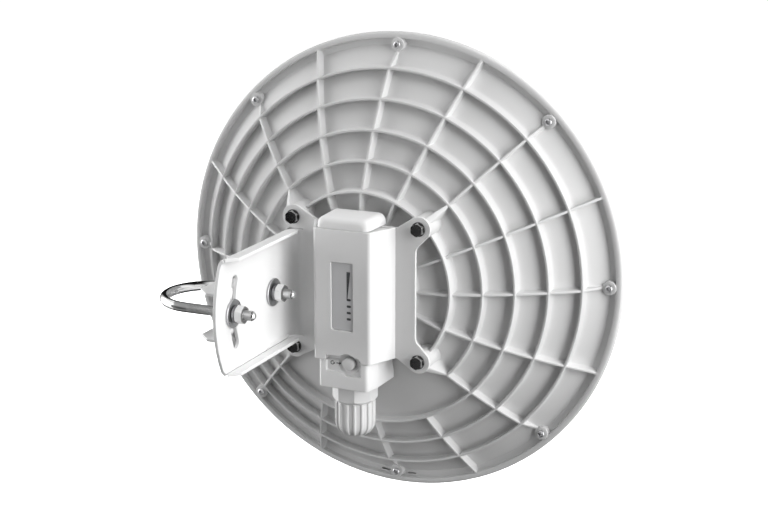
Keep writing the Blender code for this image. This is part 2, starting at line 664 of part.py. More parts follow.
def make_core():
    """The radio inside the cover, with the cap above it and the lower body below it."""
    front_y = COVER_FRONT_Y + COVER_WALL + GAP
    back_y = PLATE_Y - GAP
    inset = COVER_WALL * 1.1 + GAP * 1.4
    section = cover_section(inset, front_y, back_y, 1.2 * MM)
    core = prism("radio_core", section, -CORE_HALF_HEIGHT, CORE_HALF_HEIGHT)
    place(core, COVER_PLASTIC)
    low_front = COVER_FRONT_Y + CORE_STEP
    boolean(core, core_cap(low_front), "UNION")

    corner = 2.5 * MM
    right = [(BODY_BACK_HALF, BODY_BACK_Y), (BODY_MIDDLE_HALF, -93.5 * MM)]
    right += arc((BODY_FRONT_HALF - corner, low_front + corner), corner, 0, -90, 4)
    low_section = right + [(-x, y) for x, y in reversed(right)]
    lower = prism("core_lower", low_section, BODY_BOTTOM_Z, COVER_BOTTOM_Z - GAP)
    slope = [(-50.0, -50.0), (-69.7, -50.0), (-68.2, -55.0), (-61.0, -79.5), (-60.0, -84.0), (-50.0, -84.0)]
    dish_side = yz_prism("lower_back", [(y * MM, z * MM) for y, z in slope], -30 * MM, 30 * MM)
    boolean(lower, as_cutter(dish_side), "DIFFERENCE")
    boolean(core, as_cutter(lower), "UNION")
    neck = [(NECK_HALF, PLATE_Y - 2 * MM), (NECK_HALF, low_front + CAP_CORNER_R)]
    neck += [(-x, y) for x, y in reversed(neck)]
    boolean(core, as_cutter(prism("core_neck", neck, -NECK_TOP_Z, NECK_TOP_Z)), "UNION")
    recess = box_outline(-14.6, 17.0, -65.0, -50.0)
    pocket = xz_prism("button_pocket", recess, -112 * MM, -106.4 * MM)
    boolean(core, as_cutter(pocket), "DIFFERENCE")
    bore = cylinders("button_bore", [BUTTON_PLACE], BUTTON_R + GAP, -112 * MM, -101.0 * MM, 20)
    boolean(core, as_cutter(bore), "DIFFERENCE")


def make_label():
    outline = box_outline(-9.1, 9.6, -28.5, 28.0)
    front_y = COVER_FRONT_Y + COVER_WALL - 0.8 * MM
    label = xz_prism("label_plate", outline, front_y, COVER_FRONT_Y + COVER_WALL)
    place(label, LABEL_FILM)


def make_button():
    """A round push button with a domed face, free to move in its bore."""
    front = -108.6 * MM
    profile = [
        (0.0, -103.4 * MM),
        (BUTTON_R, -103.4 * MM),
        (BUTTON_R, front + 1.6 * MM),
        (BUTTON_R * 0.8, front + 0.6 * MM),
        (BUTTON_R * 0.4, front + 0.1 * MM),
        (0.0, front),
    ]
    button = turned_about((0, 1, 0), "reset_button", [profile], 20)
    place(button, GLAND_PLASTIC, (BUTTON_PLACE[0], 0.0, BUTTON_PLACE[1]))


def make_gland():
    """The octagonal body under the housing, the rubber seal in it and the ribbed nut below."""
    corner_r = GLAND_FLATS / 2 / math.cos(math.pi / 8)
    top = BODY_BOTTOM_Z - GAP
    octagon = [around(corner_r, 22.5 + 45 * number) for number in range(8)]
    body = prism("gland_body", octagon, GLAND_BODY_BOTTOM_Z, top)
    place(body, GLAND_PLASTIC, (0.0, GLAND_Y, 0.0))
    neck_bottom = GLAND_BODY_BOTTOM_Z - 12 * MM
    neck = turned("gland_neck", [[
        (0.0, top - 4 * MM), (12.0 * MM, top - 4 * MM), (12.0 * MM, neck_bottom), (0.0, neck_bottom),
    ]], 24)
    as_cutter(neck).location = (0.0, GLAND_Y, 0.0)
    boolean(body, neck, "UNION")
    way = turned("gland_way", [[
        (0.0, top + 1 * MM), (GLAND_BORE_R, top + 1 * MM), (GLAND_BORE_R, GLAND_BODY_BOTTOM_Z),
        (9.0 * MM, GLAND_BODY_BOTTOM_Z), (9.0 * MM, neck_bottom - 1 * MM), (0.0, neck_bottom - 1 * MM),
    ]], 24)
    as_cutter(way).location = (0.0, GLAND_Y, 0.0)
    boolean(body, way, "DIFFERENCE")

    seal_top = GLAND_BODY_BOTTOM_Z - GAP
    seal_bottom = neck_bottom - 3 * MM
    seal = turned("gland_seal", [[
        (GLAND_BORE_R, seal_top), (9.0 * MM - GAP, seal_top), (9.0 * MM - GAP, seal_bottom),
        (GLAND_BORE_R, seal_bottom),
    ]], 24)
    place(seal, SEAL_RUBBER, (0.0, GLAND_Y, 0.0))

    nut_top = GLAND_BODY_BOTTOM_Z - GAP
    outer = GLAND_NUT_R
    taper_z = GLAND_NUT_BOTTOM_Z
    nut = turned("gland_nut", [[
        (12.3 * MM, nut_top), (outer - 1.2 * MM, nut_top), (outer - 1.2 * MM, taper_z + 9 * MM),
        (outer - 3.0 * MM, taper_z + 4 * MM), (outer - 6.0 * MM, taper_z + 1 * MM),
        (outer - 8.0 * MM, taper_z), (7.0 * MM, taper_z), (7.0 * MM, taper_z + 5 * MM),
        (12.3 * MM, taper_z + 10 * MM),
    ]], 36)
    place(nut, GLAND_PLASTIC, (0.0, GLAND_Y, 0.0))
    rib_side = [
        (outer - 2.2 * MM, nut_top - 0.4 * MM), (outer, nut_top - 0.4 * MM), (outer, taper_z + 9 * MM),
        (outer - 2.0 * MM, taper_z + 4 * MM), (outer - 3.6 * MM, taper_z + 4.4 * MM),
        (outer - 2.2 * MM, taper_z + 9 * MM),
    ]
    bm = bmesh.new()
    for number in range(12):
        rib = plate_mesh("nut_rib", rib_side, 3.2 * MM)
        rib.data.transform(Matrix.Rotation(math.radians(30 * number + 15), 4, "Z") @ XZ_PLATE)
        bm.from_mesh(rib.data)
        bpy.data.objects.remove(rib)
    ribs = from_bmesh("nut_ribs", bm)
    as_cutter(ribs).location = (0.0, GLAND_Y, 0.0)
    boolean(nut, ribs, "UNION")


def make_u_bolt():
    """A round rod bent half round about the mast, its legs through the bracket."""
    half = LEG_SPACING / 2
    bend = arc((BEND_CENTRE_X, 0.0), half, 90, 270, 18)
    path = [(STUD_END_X, half), (30 * MM, half)] + bend + [(30 * MM, -half), (STUD_END_X, -half)]
    curve = bpy.data.curves.new("u_bolt", "CURVE")
    curve.dimensions = "3D"
    curve.bevel_depth = ROD_R
    curve.bevel_resolution = 2
    curve.use_fill_caps = True
    spline = curve.splines.new("POLY")
    spline.points.add(len(path) - 1)
    for point, (x, y) in zip(spline.points, path):
        point.co = (x, y, 0.0, 1.0)
    rod = evaluated_copy(new_object("u_bolt", curve))
    bm = bmesh.new()
    bm.from_mesh(rod.data)
    ends = [edge for edge in bm.edges if all(vert.co.x > STUD_END_X - 0.1 * MM for vert in edge.verts)]
    ends = [edge for edge in ends if len(edge.link_faces) == 2 and edge.calc_face_angle() > 1.0]
    bmesh.ops.bevel(bm, geom=ends, offset=1.8 * MM, segments=2, profile=0.5, affect="EDGES", material=-1)
    bm.to_mesh(rod.data)
    bm.free()
    place(rod, CHROMED_STEEL, parent=None)


def make_saddle():
    """A channel whose two level jaws have a toothed notch for the mast."""
    web_back = DISH_FROM_MAST_X + SIDE_X - GAP
    web_front = web_back - SADDLE_SHEET
    half = SADDLE_HALF_HEIGHT
    bend_r = 2.0 * MM
    outer_r = bend_r + SADDLE_SHEET
    corner = (web_back - outer_r, half - outer_r)
    upper = arc(corner, outer_r, 0, 90, 4)
    upper += [(SADDLE_JAW_X, half), (SADDLE_JAW_X, half - SADDLE_SHEET)]
    upper += arc(corner, bend_r, 90, 0, 4)
    section = upper + [(x, -z) for x, z in reversed(upper)]
    saddle = xz_prism("saddle_bracket", section, -SADDLE_HALF_LENGTH, SADDLE_HALF_LENGTH)
    place(saddle, COATED_STEEL, parent=None)

    corner_cut = 10.2 * MM
    teeth = 4
    notch = [(SADDLE_JAW_X - 5 * MM, NOTCH_HALF + 5 * MM), (SADDLE_JAW_X, NOTCH_HALF)]
    for tooth in range(teeth):
        inner = (tooth + 1) / teeth
        x = SADDLE_JAW_X + NOTCH_DEPTH * inner
        y = NOTCH_HALF * (1 - inner) + 1.0 * MM
        notch.append((x, y + 1.4 * MM))
        notch.append((x, y))
    notch[-1] = (notch[-1][0], 0.8 * MM)
    notch = notch + [(x, -y) for x, y in reversed(notch)]
    cut = prism("mast_notch", notch, -half - 2 * MM, half + 2 * MM)
    boolean(saddle, as_cutter(cut, None), "DIFFERENCE")
    for side in (1, -1):
        end_y = side * (SADDLE_HALF_LENGTH + 1 * MM)
        triangle = [
            (SADDLE_JAW_X - 1 * MM, end_y),
            (SADDLE_JAW_X - 1 * MM, side * (SADDLE_HALF_LENGTH - corner_cut - 1 * MM)),
            (SADDLE_JAW_X + corner_cut + 1 * MM, end_y),
        ]
        chamfer = prism(f"jaw_corner_{side}", triangle, -half - 2 * MM, half + 2 * MM)
        boolean(saddle, as_cutter(chamfer, None), "DIFFERENCE")
    for side in (1, -1):
        ring = arc((side * LEG_SPACING / 2, 0.0), LEG_HOLE_R, 0, 345, 23)
        hole = yz_prism(f"saddle_hole_{side}", ring, web_front - 2 * MM, web_back + 2 * MM)
        boolean(saddle, as_cutter(hole, None), "DIFFERENCE")


def make_fasteners():
    """On each leg, inside the bracket: flat washer, spring washer, nut."""
    face = DISH_FROM_MAST_X + SIDE_X + SHEET
    washer_t = 1.6 * MM
    spring_t = 2.0 * MM
    nut_t = 6.5 * MM
    bore = ROD_R + GAP
    washers = (("flat_washer", 11.5 * MM, washer_t, 24), ("spring_washer", 7.0 * MM, spring_t, 20))
    for label, side in (("pivot", 1), ("slot", -1)):
        place_y = side * LEG_SPACING / 2
        start = face + GAP
        for kind, outer, thickness, steps in washers:
            loop = [
                (bore, start + thickness), (outer, start + thickness), (outer, start), (bore, start),
            ]
            washer = turned_about((1, 0, 0), f"{kind}_{label}", [loop], steps)
            place(washer, BOLT_STEEL, (0.0, place_y, 0.0), None)
            start += thickness + GAP
        hexagon = [around(7.5 * MM, 60 * number + 30) for number in range(6)]
        nut = yz_prism(f"nut_{label}", hexagon, start, start + nut_t)
        place(nut, BOLT_STEEL, (0.0, place_y, 0.0), None)
        ring = arc((0.0, 0.0), bore, 0, 345, 23)
        hole = yz_prism(f"nut_bore_{label}", ring, start - MM, start + nut_t + MM)
        as_cutter(hole, None).location = (0.0, place_y, 0.0)
        boolean(nut, hole, "DIFFERENCE")


make_dish()
make_radome()
make_rim_screws()
make_mounting_plate()
make_plate_bolts()
make_cover()
make_core()
make_label()
make_button()
make_gland()
make_u_bolt()
make_saddle()
make_fasteners()
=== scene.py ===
"""A mast-mounted microwave dish antenna, seen from behind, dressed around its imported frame.

The dish side is modelled in millimetres about the dish's centre, the clamp side about the mast's axis.
"""

import math

import bmesh
import bpy
from mathutils import Matrix, Vector


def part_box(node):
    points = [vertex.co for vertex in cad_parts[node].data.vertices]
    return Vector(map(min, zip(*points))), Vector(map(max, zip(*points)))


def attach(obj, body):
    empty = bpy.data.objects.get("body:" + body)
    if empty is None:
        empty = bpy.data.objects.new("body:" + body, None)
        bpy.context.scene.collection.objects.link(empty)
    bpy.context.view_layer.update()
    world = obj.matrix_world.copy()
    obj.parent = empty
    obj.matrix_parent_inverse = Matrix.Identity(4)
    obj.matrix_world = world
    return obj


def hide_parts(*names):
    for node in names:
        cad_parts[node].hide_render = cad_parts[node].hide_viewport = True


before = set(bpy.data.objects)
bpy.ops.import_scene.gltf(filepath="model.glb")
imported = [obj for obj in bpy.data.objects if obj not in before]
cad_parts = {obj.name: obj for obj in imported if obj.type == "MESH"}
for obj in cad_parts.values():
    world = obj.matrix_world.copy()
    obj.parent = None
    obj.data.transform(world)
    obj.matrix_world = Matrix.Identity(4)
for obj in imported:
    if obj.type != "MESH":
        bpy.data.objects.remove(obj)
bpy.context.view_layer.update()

# Camera at the photograph's angle: behind the dish, from the right and above, through a long lens. It was
# solved from the circle of the eight rim screws, and looks at the middle of the dish.
CAMERA_PLACE = Vector((0.6900, -1.18875, 0.3897))
GAZE_POINT = Vector((0.09073, 0.15305, 0.00414))
LENS = 82.47
camera_data = bpy.data.cameras.new("studio_camera")
camera_data.lens = LENS
camera_data.sensor_fit = "HORIZONTAL"
camera_data.sensor_width = 36.0
camera_data.clip_start = 0.05
camera_data.clip_end = 60.0
camera = bpy.data.objects.new("studio_camera", camera_data)
bpy.context.scene.collection.objects.link(camera)
camera.location = CAMERA_PLACE
camera.rotation_euler = (GAZE_POINT - CAMERA_PLACE).to_track_quat("-Z", "Y").to_euler()
bpy.context.scene.camera = camera
bpy.context.scene.view_settings.view_transform = "Standard"

# Studio: a wide pale floor well below the hanging dish. The strongest soft boxes stand on the right and
# the left, dim ones behind the dish fill the shadows, one shines up through the floor, and two light the
# radome in front.
FLOOR_HEIGHT = -0.55
AIM = Vector((0.1, 0.1, 0.0))
floor_bm = bmesh.new()
bmesh.ops.create_circle(floor_bm, cap_ends=True, segments=96, radius=24.0)
bmesh.ops.translate(floor_bm, verts=floor_bm.verts[:], vec=(0.0, 0.0, FLOOR_HEIGHT))
floor_mesh = bpy.data.meshes.new("studio_floor")
floor_bm.to_mesh(floor_mesh)
floor_bm.free()
floor = bpy.data.objects.new("studio_floor", floor_mesh)
bpy.context.scene.collection.objects.link(floor)
floor_paint = bpy.data.materials.new("pale_floor")
floor_paint.use_nodes = True
floor_shader = floor_paint.node_tree.nodes["Principled BSDF"]
floor_shader.inputs["Base Color"].default_value = (0.92, 0.92, 0.92, 1.0)
floor_shader.inputs["Roughness"].default_value = 0.9
floor_shader.inputs["Emission Color"].default_value = (1.0, 1.0, 1.0, 1.0)
floor_shader.inputs["Emission Strength"].default_value = 1.0
floor_mesh.materials.append(floor_paint)
floor.visible_glossy = False
floor.visible_diffuse = False
floor.visible_shadow = False


def soft_box(name, place, watts, size, mirrored):
    """A square soft box at a place, facing the antenna, with or without its image in bright metal."""
    lamp = bpy.data.lights.new(name, "AREA")
    lamp.shape = "SQUARE"
    lamp.size = size
    lamp.energy = watts
    box = bpy.data.objects.new(name, lamp)
    bpy.context.scene.collection.objects.link(box)
    box.visible_glossy = mirrored
    box.location = place
    box.rotation_euler = (AIM - box.location).to_track_quat("-Z", "Y").to_euler()


soft_box("key_box", (2.106, 0.15, 1.807), 74.0, 3.2, False)
soft_box("right_box", (2.750, -0.350, 0.235), 74.0, 2.6, True)
soft_box("left_box", (-2.590, 0.10, 0.235), 64.0, 2.4, True)
soft_box("left_high_box", (-1.906, 0.10, 1.807), 24.0, 1.5, False)
soft_box("left_back_box", (-2.229, -1.245, 0.235), 15.0, 1.5, False)
soft_box("back_box", (-1.245, -2.229, 0.235), 8.0, 1.5, False)
soft_box("back_high_box", (1.519, -1.319, 1.807), 3.0, 1.5, True)
soft_box("low_box", (0.10, -1.968, -1.736), 5.0, 1.5, False)
soft_box("front_box", (1.300, 2.600, 1.200), 42.0, 1.5, False)
soft_box("front_left_box", (-1.700, 2.300, 0.500), 20.0, 1.5, False)

# Room round the soft boxes: it lights no matt piece, and shows only in bright metal, as white walls, a black
# beam right round the antenna, a dark floor, and a doorway behind and to the left. Each zone has the way to
# its middle, the cosines at which its edge starts and ends, and its brightness before and after the edge.
BLACK_BEAM = ((0.785, 0.56, -0.268), 0.14, 0.44, 0.01, 1.0)
DOORWAY = ((-0.74, -0.643, -0.196), 0.9, 0.95, 1.0, 0.085)
DOOR_POST = ((-0.41, -0.87, -0.26), 0.93, 0.97, 1.0, 0.05)
DARK_FLOOR = ((-0.1, 0.3, -0.95), 0.6, 0.86, 1.0, 0.05)


def spread(tree, value, start, end, first, last):
    """Spread a value that runs from start to end over first to last, level beyond both ends."""
    node = tree.nodes.new("ShaderNodeMapRange")
    for socket, number in (("From Min", start), ("From Max", end), ("To Min", first), ("To Max", last)):
        node.inputs[socket].default_value = number
    tree.links.new(value, node.inputs["Value"])
    return node


room = bpy.data.worlds.new("studio_room")
bpy.context.scene.world = room
room.use_nodes = True
tree = room.node_tree
tree.nodes.clear()
direction = tree.nodes.new("ShaderNodeTexCoord")
level = None
for zone in (BLACK_BEAM, DOORWAY, DOOR_POST, DARK_FLOOR):
    toward = tree.nodes.new("ShaderNodeVectorMath")
    toward.operation = "DOT_PRODUCT"
    toward.inputs[1].default_value = zone[0]
    tree.links.new(direction.outputs["Generated"], toward.inputs[0])
    cosine = toward.outputs["Value"]
    if zone is BLACK_BEAM:
        either_side = tree.nodes.new("ShaderNodeMath")
        either_side.operation = "ABSOLUTE"
        tree.links.new(cosine, either_side.inputs[0])
        cosine = either_side.outputs["Value"]
    edge = spread(tree, cosine, *zone[1:])
    edge.interpolation_type = "SMOOTHSTEP"
    if level:
        product = tree.nodes.new("ShaderNodeMath")
        product.operation = "MULTIPLY"
        tree.links.new(level, product.inputs[0])
        tree.links.new(edge.outputs["Result"], product.inputs[1])
        level = product.outputs["Value"]
    else:
        level = edge.outputs["Result"]
ray = tree.nodes.new("ShaderNodeLightPath")
shades = []
for strength in (0.0, 1.0, 1.0):
    shade = tree.nodes.new("ShaderNodeBackground")
    shade.inputs["Color"].default_value = (1.0, 1.0, 1.0, 1.0)
    shade.inputs["Strength"].default_value = strength
    shades.append(shade)
tree.links.new(level, shades[1].inputs["Strength"])
glossy_mix = tree.nodes.new("ShaderNodeMixShader")
tree.links.new(ray.outputs["Is Glossy Ray"], glossy_mix.inputs[0])
tree.links.new(shades[0].outputs[0], glossy_mix.inputs[1])
tree.links.new(shades[1].outputs[0], glossy_mix.inputs[2])
camera_mix = tree.nodes.new("ShaderNodeMixShader")
tree.links.new(ray.outputs["Is Camera Ray"], camera_mix.inputs[0])
tree.links.new(glossy_mix.outputs[0], camera_mix.inputs[1])
tree.links.new(shades[2].outputs[0], camera_mix.inputs[2])
output = tree.nodes.new("ShaderNodeOutputWorld")
tree.links.new(camera_mix.outputs[0], output.inputs["Surface"])

# Reflector shell: one injection moulding of light grey weather-proof plastic. Its back carries 16
# radial ribs and six ring ribs with draft and small fillets, a raised lip, screw bosses and webs.
MILLIMETRES = Matrix.Scale(0.001, 4)
SHELL_FRONT = 10.6
dish_low, dish_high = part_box("reflector_shell")
dish_centre = (dish_low + dish_high) / 2
dish_centre.y = dish_high.y - SHELL_FRONT * 0.001
DISH_PLACE = Matrix.Translation(dish_centre) @ MILLIMETRES
WALL = 2.6
FLOOR_DEEPEST, FLOOR_CURVE, FLANGE_Y = -74.5, 0.0023, 8.0
RIBS = 16
RIB_HEIGHT = 9.6
# Across a rib or ring: distance from its middle, and the share of its full height there.
RIB_SECTION = ((0.0, 1.0), (0.62, 1.0), (0.9, 0.985), (1.05, 0.95), (1.3, 0.11), (1.65, 0.035), (2.5, 0.0))
GAP_COLUMNS = 4
RIB_STEPS = 2 * (len(RIB_SECTION) - 1 + GAP_COLUMNS)
# Radius and top of each ring rib, from the hub out. Three of them stop at the smooth sector below the hub,
# and the ribs inside that sector start at the fourth ring.
RINGS = ((49.3, -75.4), (79.0, -73.7), (102.0, -60.4), (125.5, -48.4), (149.0, -33.2), (172.4, -16.3))
STOPPED_RINGS = 3
SMOOTH_RIBS = (11, 12, 13)
SMOOTH_MIDDLE, SMOOTH_HALF = 270.0, 44.9
LIP = ((194.5, 8.0), (194.75, 7.3), (195.1, 4.3), (195.35, 3.7), (195.9, 3.5), (197.6, 3.55), (199.0, 3.9))
LIP += ((199.8, 4.5), (200.25, 5.3), (200.4, 6.2), (200.4, 10.1), (199.9, SHELL_FRONT))
WEB_Y = -79.9
WEB_FLARE = ((88.5, 2.8), (101.5, 1.0))


def noise(tree, place, scale, detail):
    """A noise over a place, with about so many patches to the metre."""
    node = tree.nodes.new("ShaderNodeTexNoise")
    node.inputs["Scale"].default_value = scale
    node.inputs["Detail"].default_value = detail
    tree.links.new(place, node.inputs["Vector"])
    return node.outputs["Fac"]


def clouded_finish(name, colour, scale, detail, shades, roughnesses):
    """A finish that drifts between two shades and two roughnesses, and the place that it reads."""
    material = bpy.data.materials.new(name)
    material.use_nodes = True
    tree = material.node_tree
    shader = tree.nodes["Principled BSDF"]
    place = tree.nodes.new("ShaderNodeTexCoord").outputs["Object"]
    cloud = noise(tree, place, scale, detail)
    tone = tree.nodes.new("ShaderNodeMix")
    tone.data_type = "RGBA"
    for socket, shade in zip("AB", shades):
        tone.inputs[socket].default_value = (*[min(part * shade, 1.0) for part in colour], 1.0)
    tree.links.new(cloud, tone.inputs["Factor"])
    tree.links.new(tone.outputs["Result"], shader.inputs["Base Color"])
    shine = spread(tree, cloud, 0.3, 0.7, *roughnesses)
    tree.links.new(shine.outputs["Result"], shader.inputs["Roughness"])
    return material, place


def uneven(material, height, strength, depth):
    """Bump a finish by a height, up to a depth in metres."""
    tree = material.node_tree
    bump = tree.nodes.new("ShaderNodeBump")
    bump.inputs["Strength"].default_value = strength
    bump.inputs["Distance"].default_value = depth
    tree.links.new(height, bump.inputs["Height"])
    tree.links.new(bump.outputs["Normal"], tree.nodes["Principled BSDF"].inputs["Normal"])


def moulded_plastic(name, colour, roughness, grain, grain_scale=1800.0, grain_detail=2.0):
    """Moulded plastic: a fine spark-eroded grain, with faint clouding where the melt flowed."""
    roughnesses = (roughness - 0.04, roughness + 0.05)
    material, place = clouded_finish(name, colour, 22.0, 4.0, (0.975, 1.02), roughnesses)
    shader = material.node_tree.nodes["Principled BSDF"]
    shader.inputs["IOR"].default_value = 1.5
    shader.inputs["Specular IOR Level"].default_value = 0.3
    uneven(material, noise(material.node_tree, place, grain_scale, grain_detail), grain, 0.00008)
    return material


dish_plastic = moulded_plastic("dish_plastic", (0.66, 0.66, 0.66), 0.5, 0.25)


def piece(name, bm, place, material, body, nodes, smooth=35.0):
    """Make a finished mesh in millimetres into a piece of the antenna, in its place."""
    bmesh.ops.transform(bm, matrix=place, verts=bm.verts[:])
    mesh = bpy.data.meshes.new(name)
    bm.to_mesh(mesh)
    bm.free()
    mesh.materials.append(material)
    mesh.shade_smooth()
    mesh.set_sharp_from_angle(angle=math.radians(smooth))
    made = bpy.data.objects.new(name, mesh)
    bpy.context.scene.collection.objects.link(made)
    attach(made, body)
    if nodes:
        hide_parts(*nodes)
    return made


def combined(bm, tool, operation):
    """Join a closed shape with another, or cut it, and weld the seam."""
    pair = []
    for part in (bm, tool):
        mesh = bpy.data.meshes.new("blank")
        part.to_mesh(mesh)
        part.free()
        pair.append(bpy.data.objects.new("blank", mesh))
        bpy.context.scene.collection.objects.link(pair[-1])
    modifier = pair[0].modifiers.new("combine", "BOOLEAN")
    modifier.operation = operation
    modifier.solver = "EXACT"
    modifier.object = pair[1]
    bpy.context.view_layer.update()
    depsgraph = bpy.context.evaluated_depsgraph_get()
    mesh = bpy.data.meshes.new_from_object(pair[0].evaluated_get(depsgraph))
    result = bmesh.new()
    result.from_mesh(mesh)
    bmesh.ops.remove_doubles(result, verts=result.verts[:], dist=0.0005)
    for blank in pair:
        bpy.data.objects.remove(blank)
    return result


def add_part(bm, part):
    """Add a finished part to a shape."""
    blank = bpy.data.meshes.new("blank")
    part.to_mesh(blank)
    part.free()
    bm.from_mesh(blank)


def slice_off(bm, place, facing):
    """Cut a closed shape by a plane, drop what lies beyond it, and close the cut."""
    cut = bmesh.ops.bisect_plane(bm, geom=bm.verts[:] + bm.edges[:] + bm.faces[:], dist=0.0001,
                                 plane_co=place, plane_no=facing, clear_outer=True)
    bmesh.ops.holes_fill(bm, edges=[item for item in cut["geom_cut"] if isinstance(item, bmesh.types.BMEdge)])
    bmesh.ops.recalc_face_normals(bm, faces=bm.faces[:])


def lathe(profile, steps, axis="Y", closed=False):
    """Turn a profile of (radius, place along the axis) points all the way round the axis."""
    bm = bmesh.new()
    verts = [bm.verts.new((radius, along, 0.0) if axis == "Y" else (radius, 0.0, along))
             for radius, along in profile]
    edges = [bm.edges.new(pair) for pair in zip(verts, verts[1:])]
    if closed:
        edges.append(bm.edges.new((verts[-1], verts[0])))
    turn = (0.0, 1.0, 0.0) if axis == "Y" else (0.0, 0.0, 1.0)
    bmesh.ops.spin(bm, geom=verts + edges, cent=(0.0, 0.0, 0.0), axis=turn, dvec=(0.0, 0.0, 0.0),
                   angle=math.tau, steps=steps, use_merge=True, use_duplicate=False)
    bmesh.ops.remove_doubles(bm, verts=bm.verts[:], dist=0.0001)
    bmesh.ops.recalc_face_normals(bm, faces=bm.faces[:])
    return bm


def arc(centre, radius, start, end, steps):
    """Points along an arc, with the angles in degrees."""
    angles = [math.radians(start + (end - start) * step / steps) for step in range(steps + 1)]
    return [(centre[0] + radius * math.cos(angle), centre[1] + radius * math.sin(angle)) for angle in angles]


def follow(points, value):
    """The height of a line of (place, height) points at a place, level beyond its ends."""
    if value <= points[0][0]:
        return points[0][1]
    for (start, low), (end, high) in zip(points, points[1:]):
        if value <= end:
            return low + (high - low) * (value - start) / (end - start)
    return points[-1][1]


def floor_y(radius):
    """The back of the dish's wall, a parabola, with a level flange outside it."""
    return min(FLOOR_DEEPEST + FLOOR_CURVE * radius * radius, FLANGE_Y)


def rib_top(radius, number):
    """The top of a rib at a radius: a web at the bolts, a fall to the screw bosses or the lip."""
    first_ring = STOPPED_RINGS if number in SMOOTH_RIBS else 0
    if radius < RINGS[first_ring][0] - 0.1:
        return None
    if radius > RINGS[-1][0]:
        fall = [(RINGS[-1][0], -15.7)]
        if number % 2 == 0:
            fall += [(184.2, 1.6), (185.2, 2.7)]
        return follow(fall + [(196.8, 4.4), (197.0, 20.0)], radius)
    hub_end = (48.5, -74.9)
    if number % 4 == 2 and radius < 101.0:
        return follow((hub_end, (69.5, WEB_Y), (88.5, WEB_Y), (101.0, floor_y(101.0) - RIB_HEIGHT)), radius)
    if radius < 80.0:
        return follow((hub_end, (79.0, -72.4), (80.0, floor_y(80.0) - RIB_HEIGHT)), radius)
    return floor_y(radius) - RIB_HEIGHT


def ring_top(radius, ring, degrees):
    """The level top of a ring, if the ring runs there."""
    stopped = ring < STOPPED_RINGS and abs(degrees - SMOOTH_MIDDLE) < SMOOTH_HALF
    return None if stopped else RINGS[ring][1]


spots = [place for place, _ in RIB_SECTION]
radii = {0.0, 12.0, 24.0, 36.0, 44.0, 88.5, 184.2, 185.2, 187.8, 189.4, 191.5, 193.2}
for ring_radius, _ in RINGS:
    radii |= {round(ring_radius + side * spot, 3) for spot in spots for side in (-1, 1)}
edges_of_bays = [0.0] + [ring_radius for ring_radius, _ in RINGS] + [187.8]
for inner, outer in zip(edges_of_bays[1:], edges_of_bays[2:]):
    start, stop = inner + spots[-1], outer - spots[-1]
    radii |= {round(start + (stop - start) * step / 5, 3) for step in range(1, 5)}
back = [(radius, floor_y(radius)) for radius in sorted(radii)]
front = [(189.4, SHELL_FRONT)] + [(radius, floor_y(radius) + WALL) for radius in range(180, -1, -15)]
shell = lathe(back + list(LIP) + front, RIB_STEPS * RIBS)

# The turned shell's columns close up round each rib's middle line, except near the hub's middle, where they
# would meet, and the back inside the lip's crest is drawn out to the tops of the ribs and rings.
COLUMNS_MEET_R = 42.0
LIP_CREST_R = 197.5
last = len(spots) - 1
for vert in shell.verts:
    radius = math.hypot(vert.co.x, vert.co.z)
    if radius < 1.0:
        continue
    column = round(math.atan2(vert.co.z, vert.co.x) / math.tau * RIBS * RIB_STEPS)
    number = round(column / RIB_STEPS)
    step = column - number * RIB_STEPS
    number %= RIBS
    flare = follow(WEB_FLARE, radius) if number % 4 == 2 else 1.0
    side = -1 if step < 0 else 1
    step = abs(step)
    reach = max(radius, COLUMNS_MEET_R)
    if step <= last:
        swing = math.asin(spots[step] * flare / reach)
    else:
        edge = math.asin(spots[last] * flare / reach)
        swing = edge + (math.pi / RIBS - edge) * (step - last) / GAP_COLUMNS
    angle = number * math.tau / RIBS + side * swing
    on_back = radius < LIP_CREST_R and vert.co.y < floor_y(radius) + 0.01
    y = vert.co.y
    if on_back:
        base = y
        top = rib_top(radius, number)
        if top is not None and step <= last:
            y = min(y, base + (top - base) * RIB_SECTION[step][1])
        degrees = math.degrees(angle) % 360.0
        for ring, (ring_radius, _) in enumerate(RINGS):
            away = abs(radius - ring_radius)
            top = ring_top(radius, ring, degrees) if away < spots[-1] else None
            if top is not None:
                y = min(y, base + (top - base) * follow(RIB_SECTION, away))
    vert.co = (radius * math.cos(angle), y, radius * math.sin(angle))

# Where the eight rim screws and the four plate bolts stand, in (x, z): their bosses, and then their bores.
RIM_SCREWS = arc((0.0, 0.0), 190.0, 0.0, 315.0, 7)
BOLTS = [(-56.06, 55.7), (56.06, 55.7), (56.06, -55.7), (-56.06, -55.7)]
SCREW_BORE_R, BOLT_BORE_R = 2.0, 3.4
bosses = bmesh.new()
for places, outer_r, top_y, middle_r, depth_y in (
        (RIM_SCREWS, 5.8, 1.9, 187.0, 9.3), (BOLTS, 9.5, WEB_Y, 79.0, -50.0)):
    for x, z in places:
        boss = lathe([(0.0, top_y), (outer_r - 0.5, top_y), (outer_r - 0.15, top_y + 0.15),
                      (outer_r, top_y + 0.5), (outer_r + 0.25, depth_y), (0.0, depth_y)], 48)
        bmesh.ops.translate(boss, verts=boss.verts[:], vec=(x, 0.0, z))
        out = Vector((x, 0.0, z)).normalized()
        wall = out * middle_r + Vector((0.0, floor_y(middle_r) + WALL / 2, 0.0))
        slope = 2 * FLOOR_CURVE * middle_r
        slice_off(boss, wall, (Vector((0.0, 1.0, 0.0)) - out * slope).normalized())
        add_part(bosses, boss)
shell = combined(shell, bosses, "UNION")

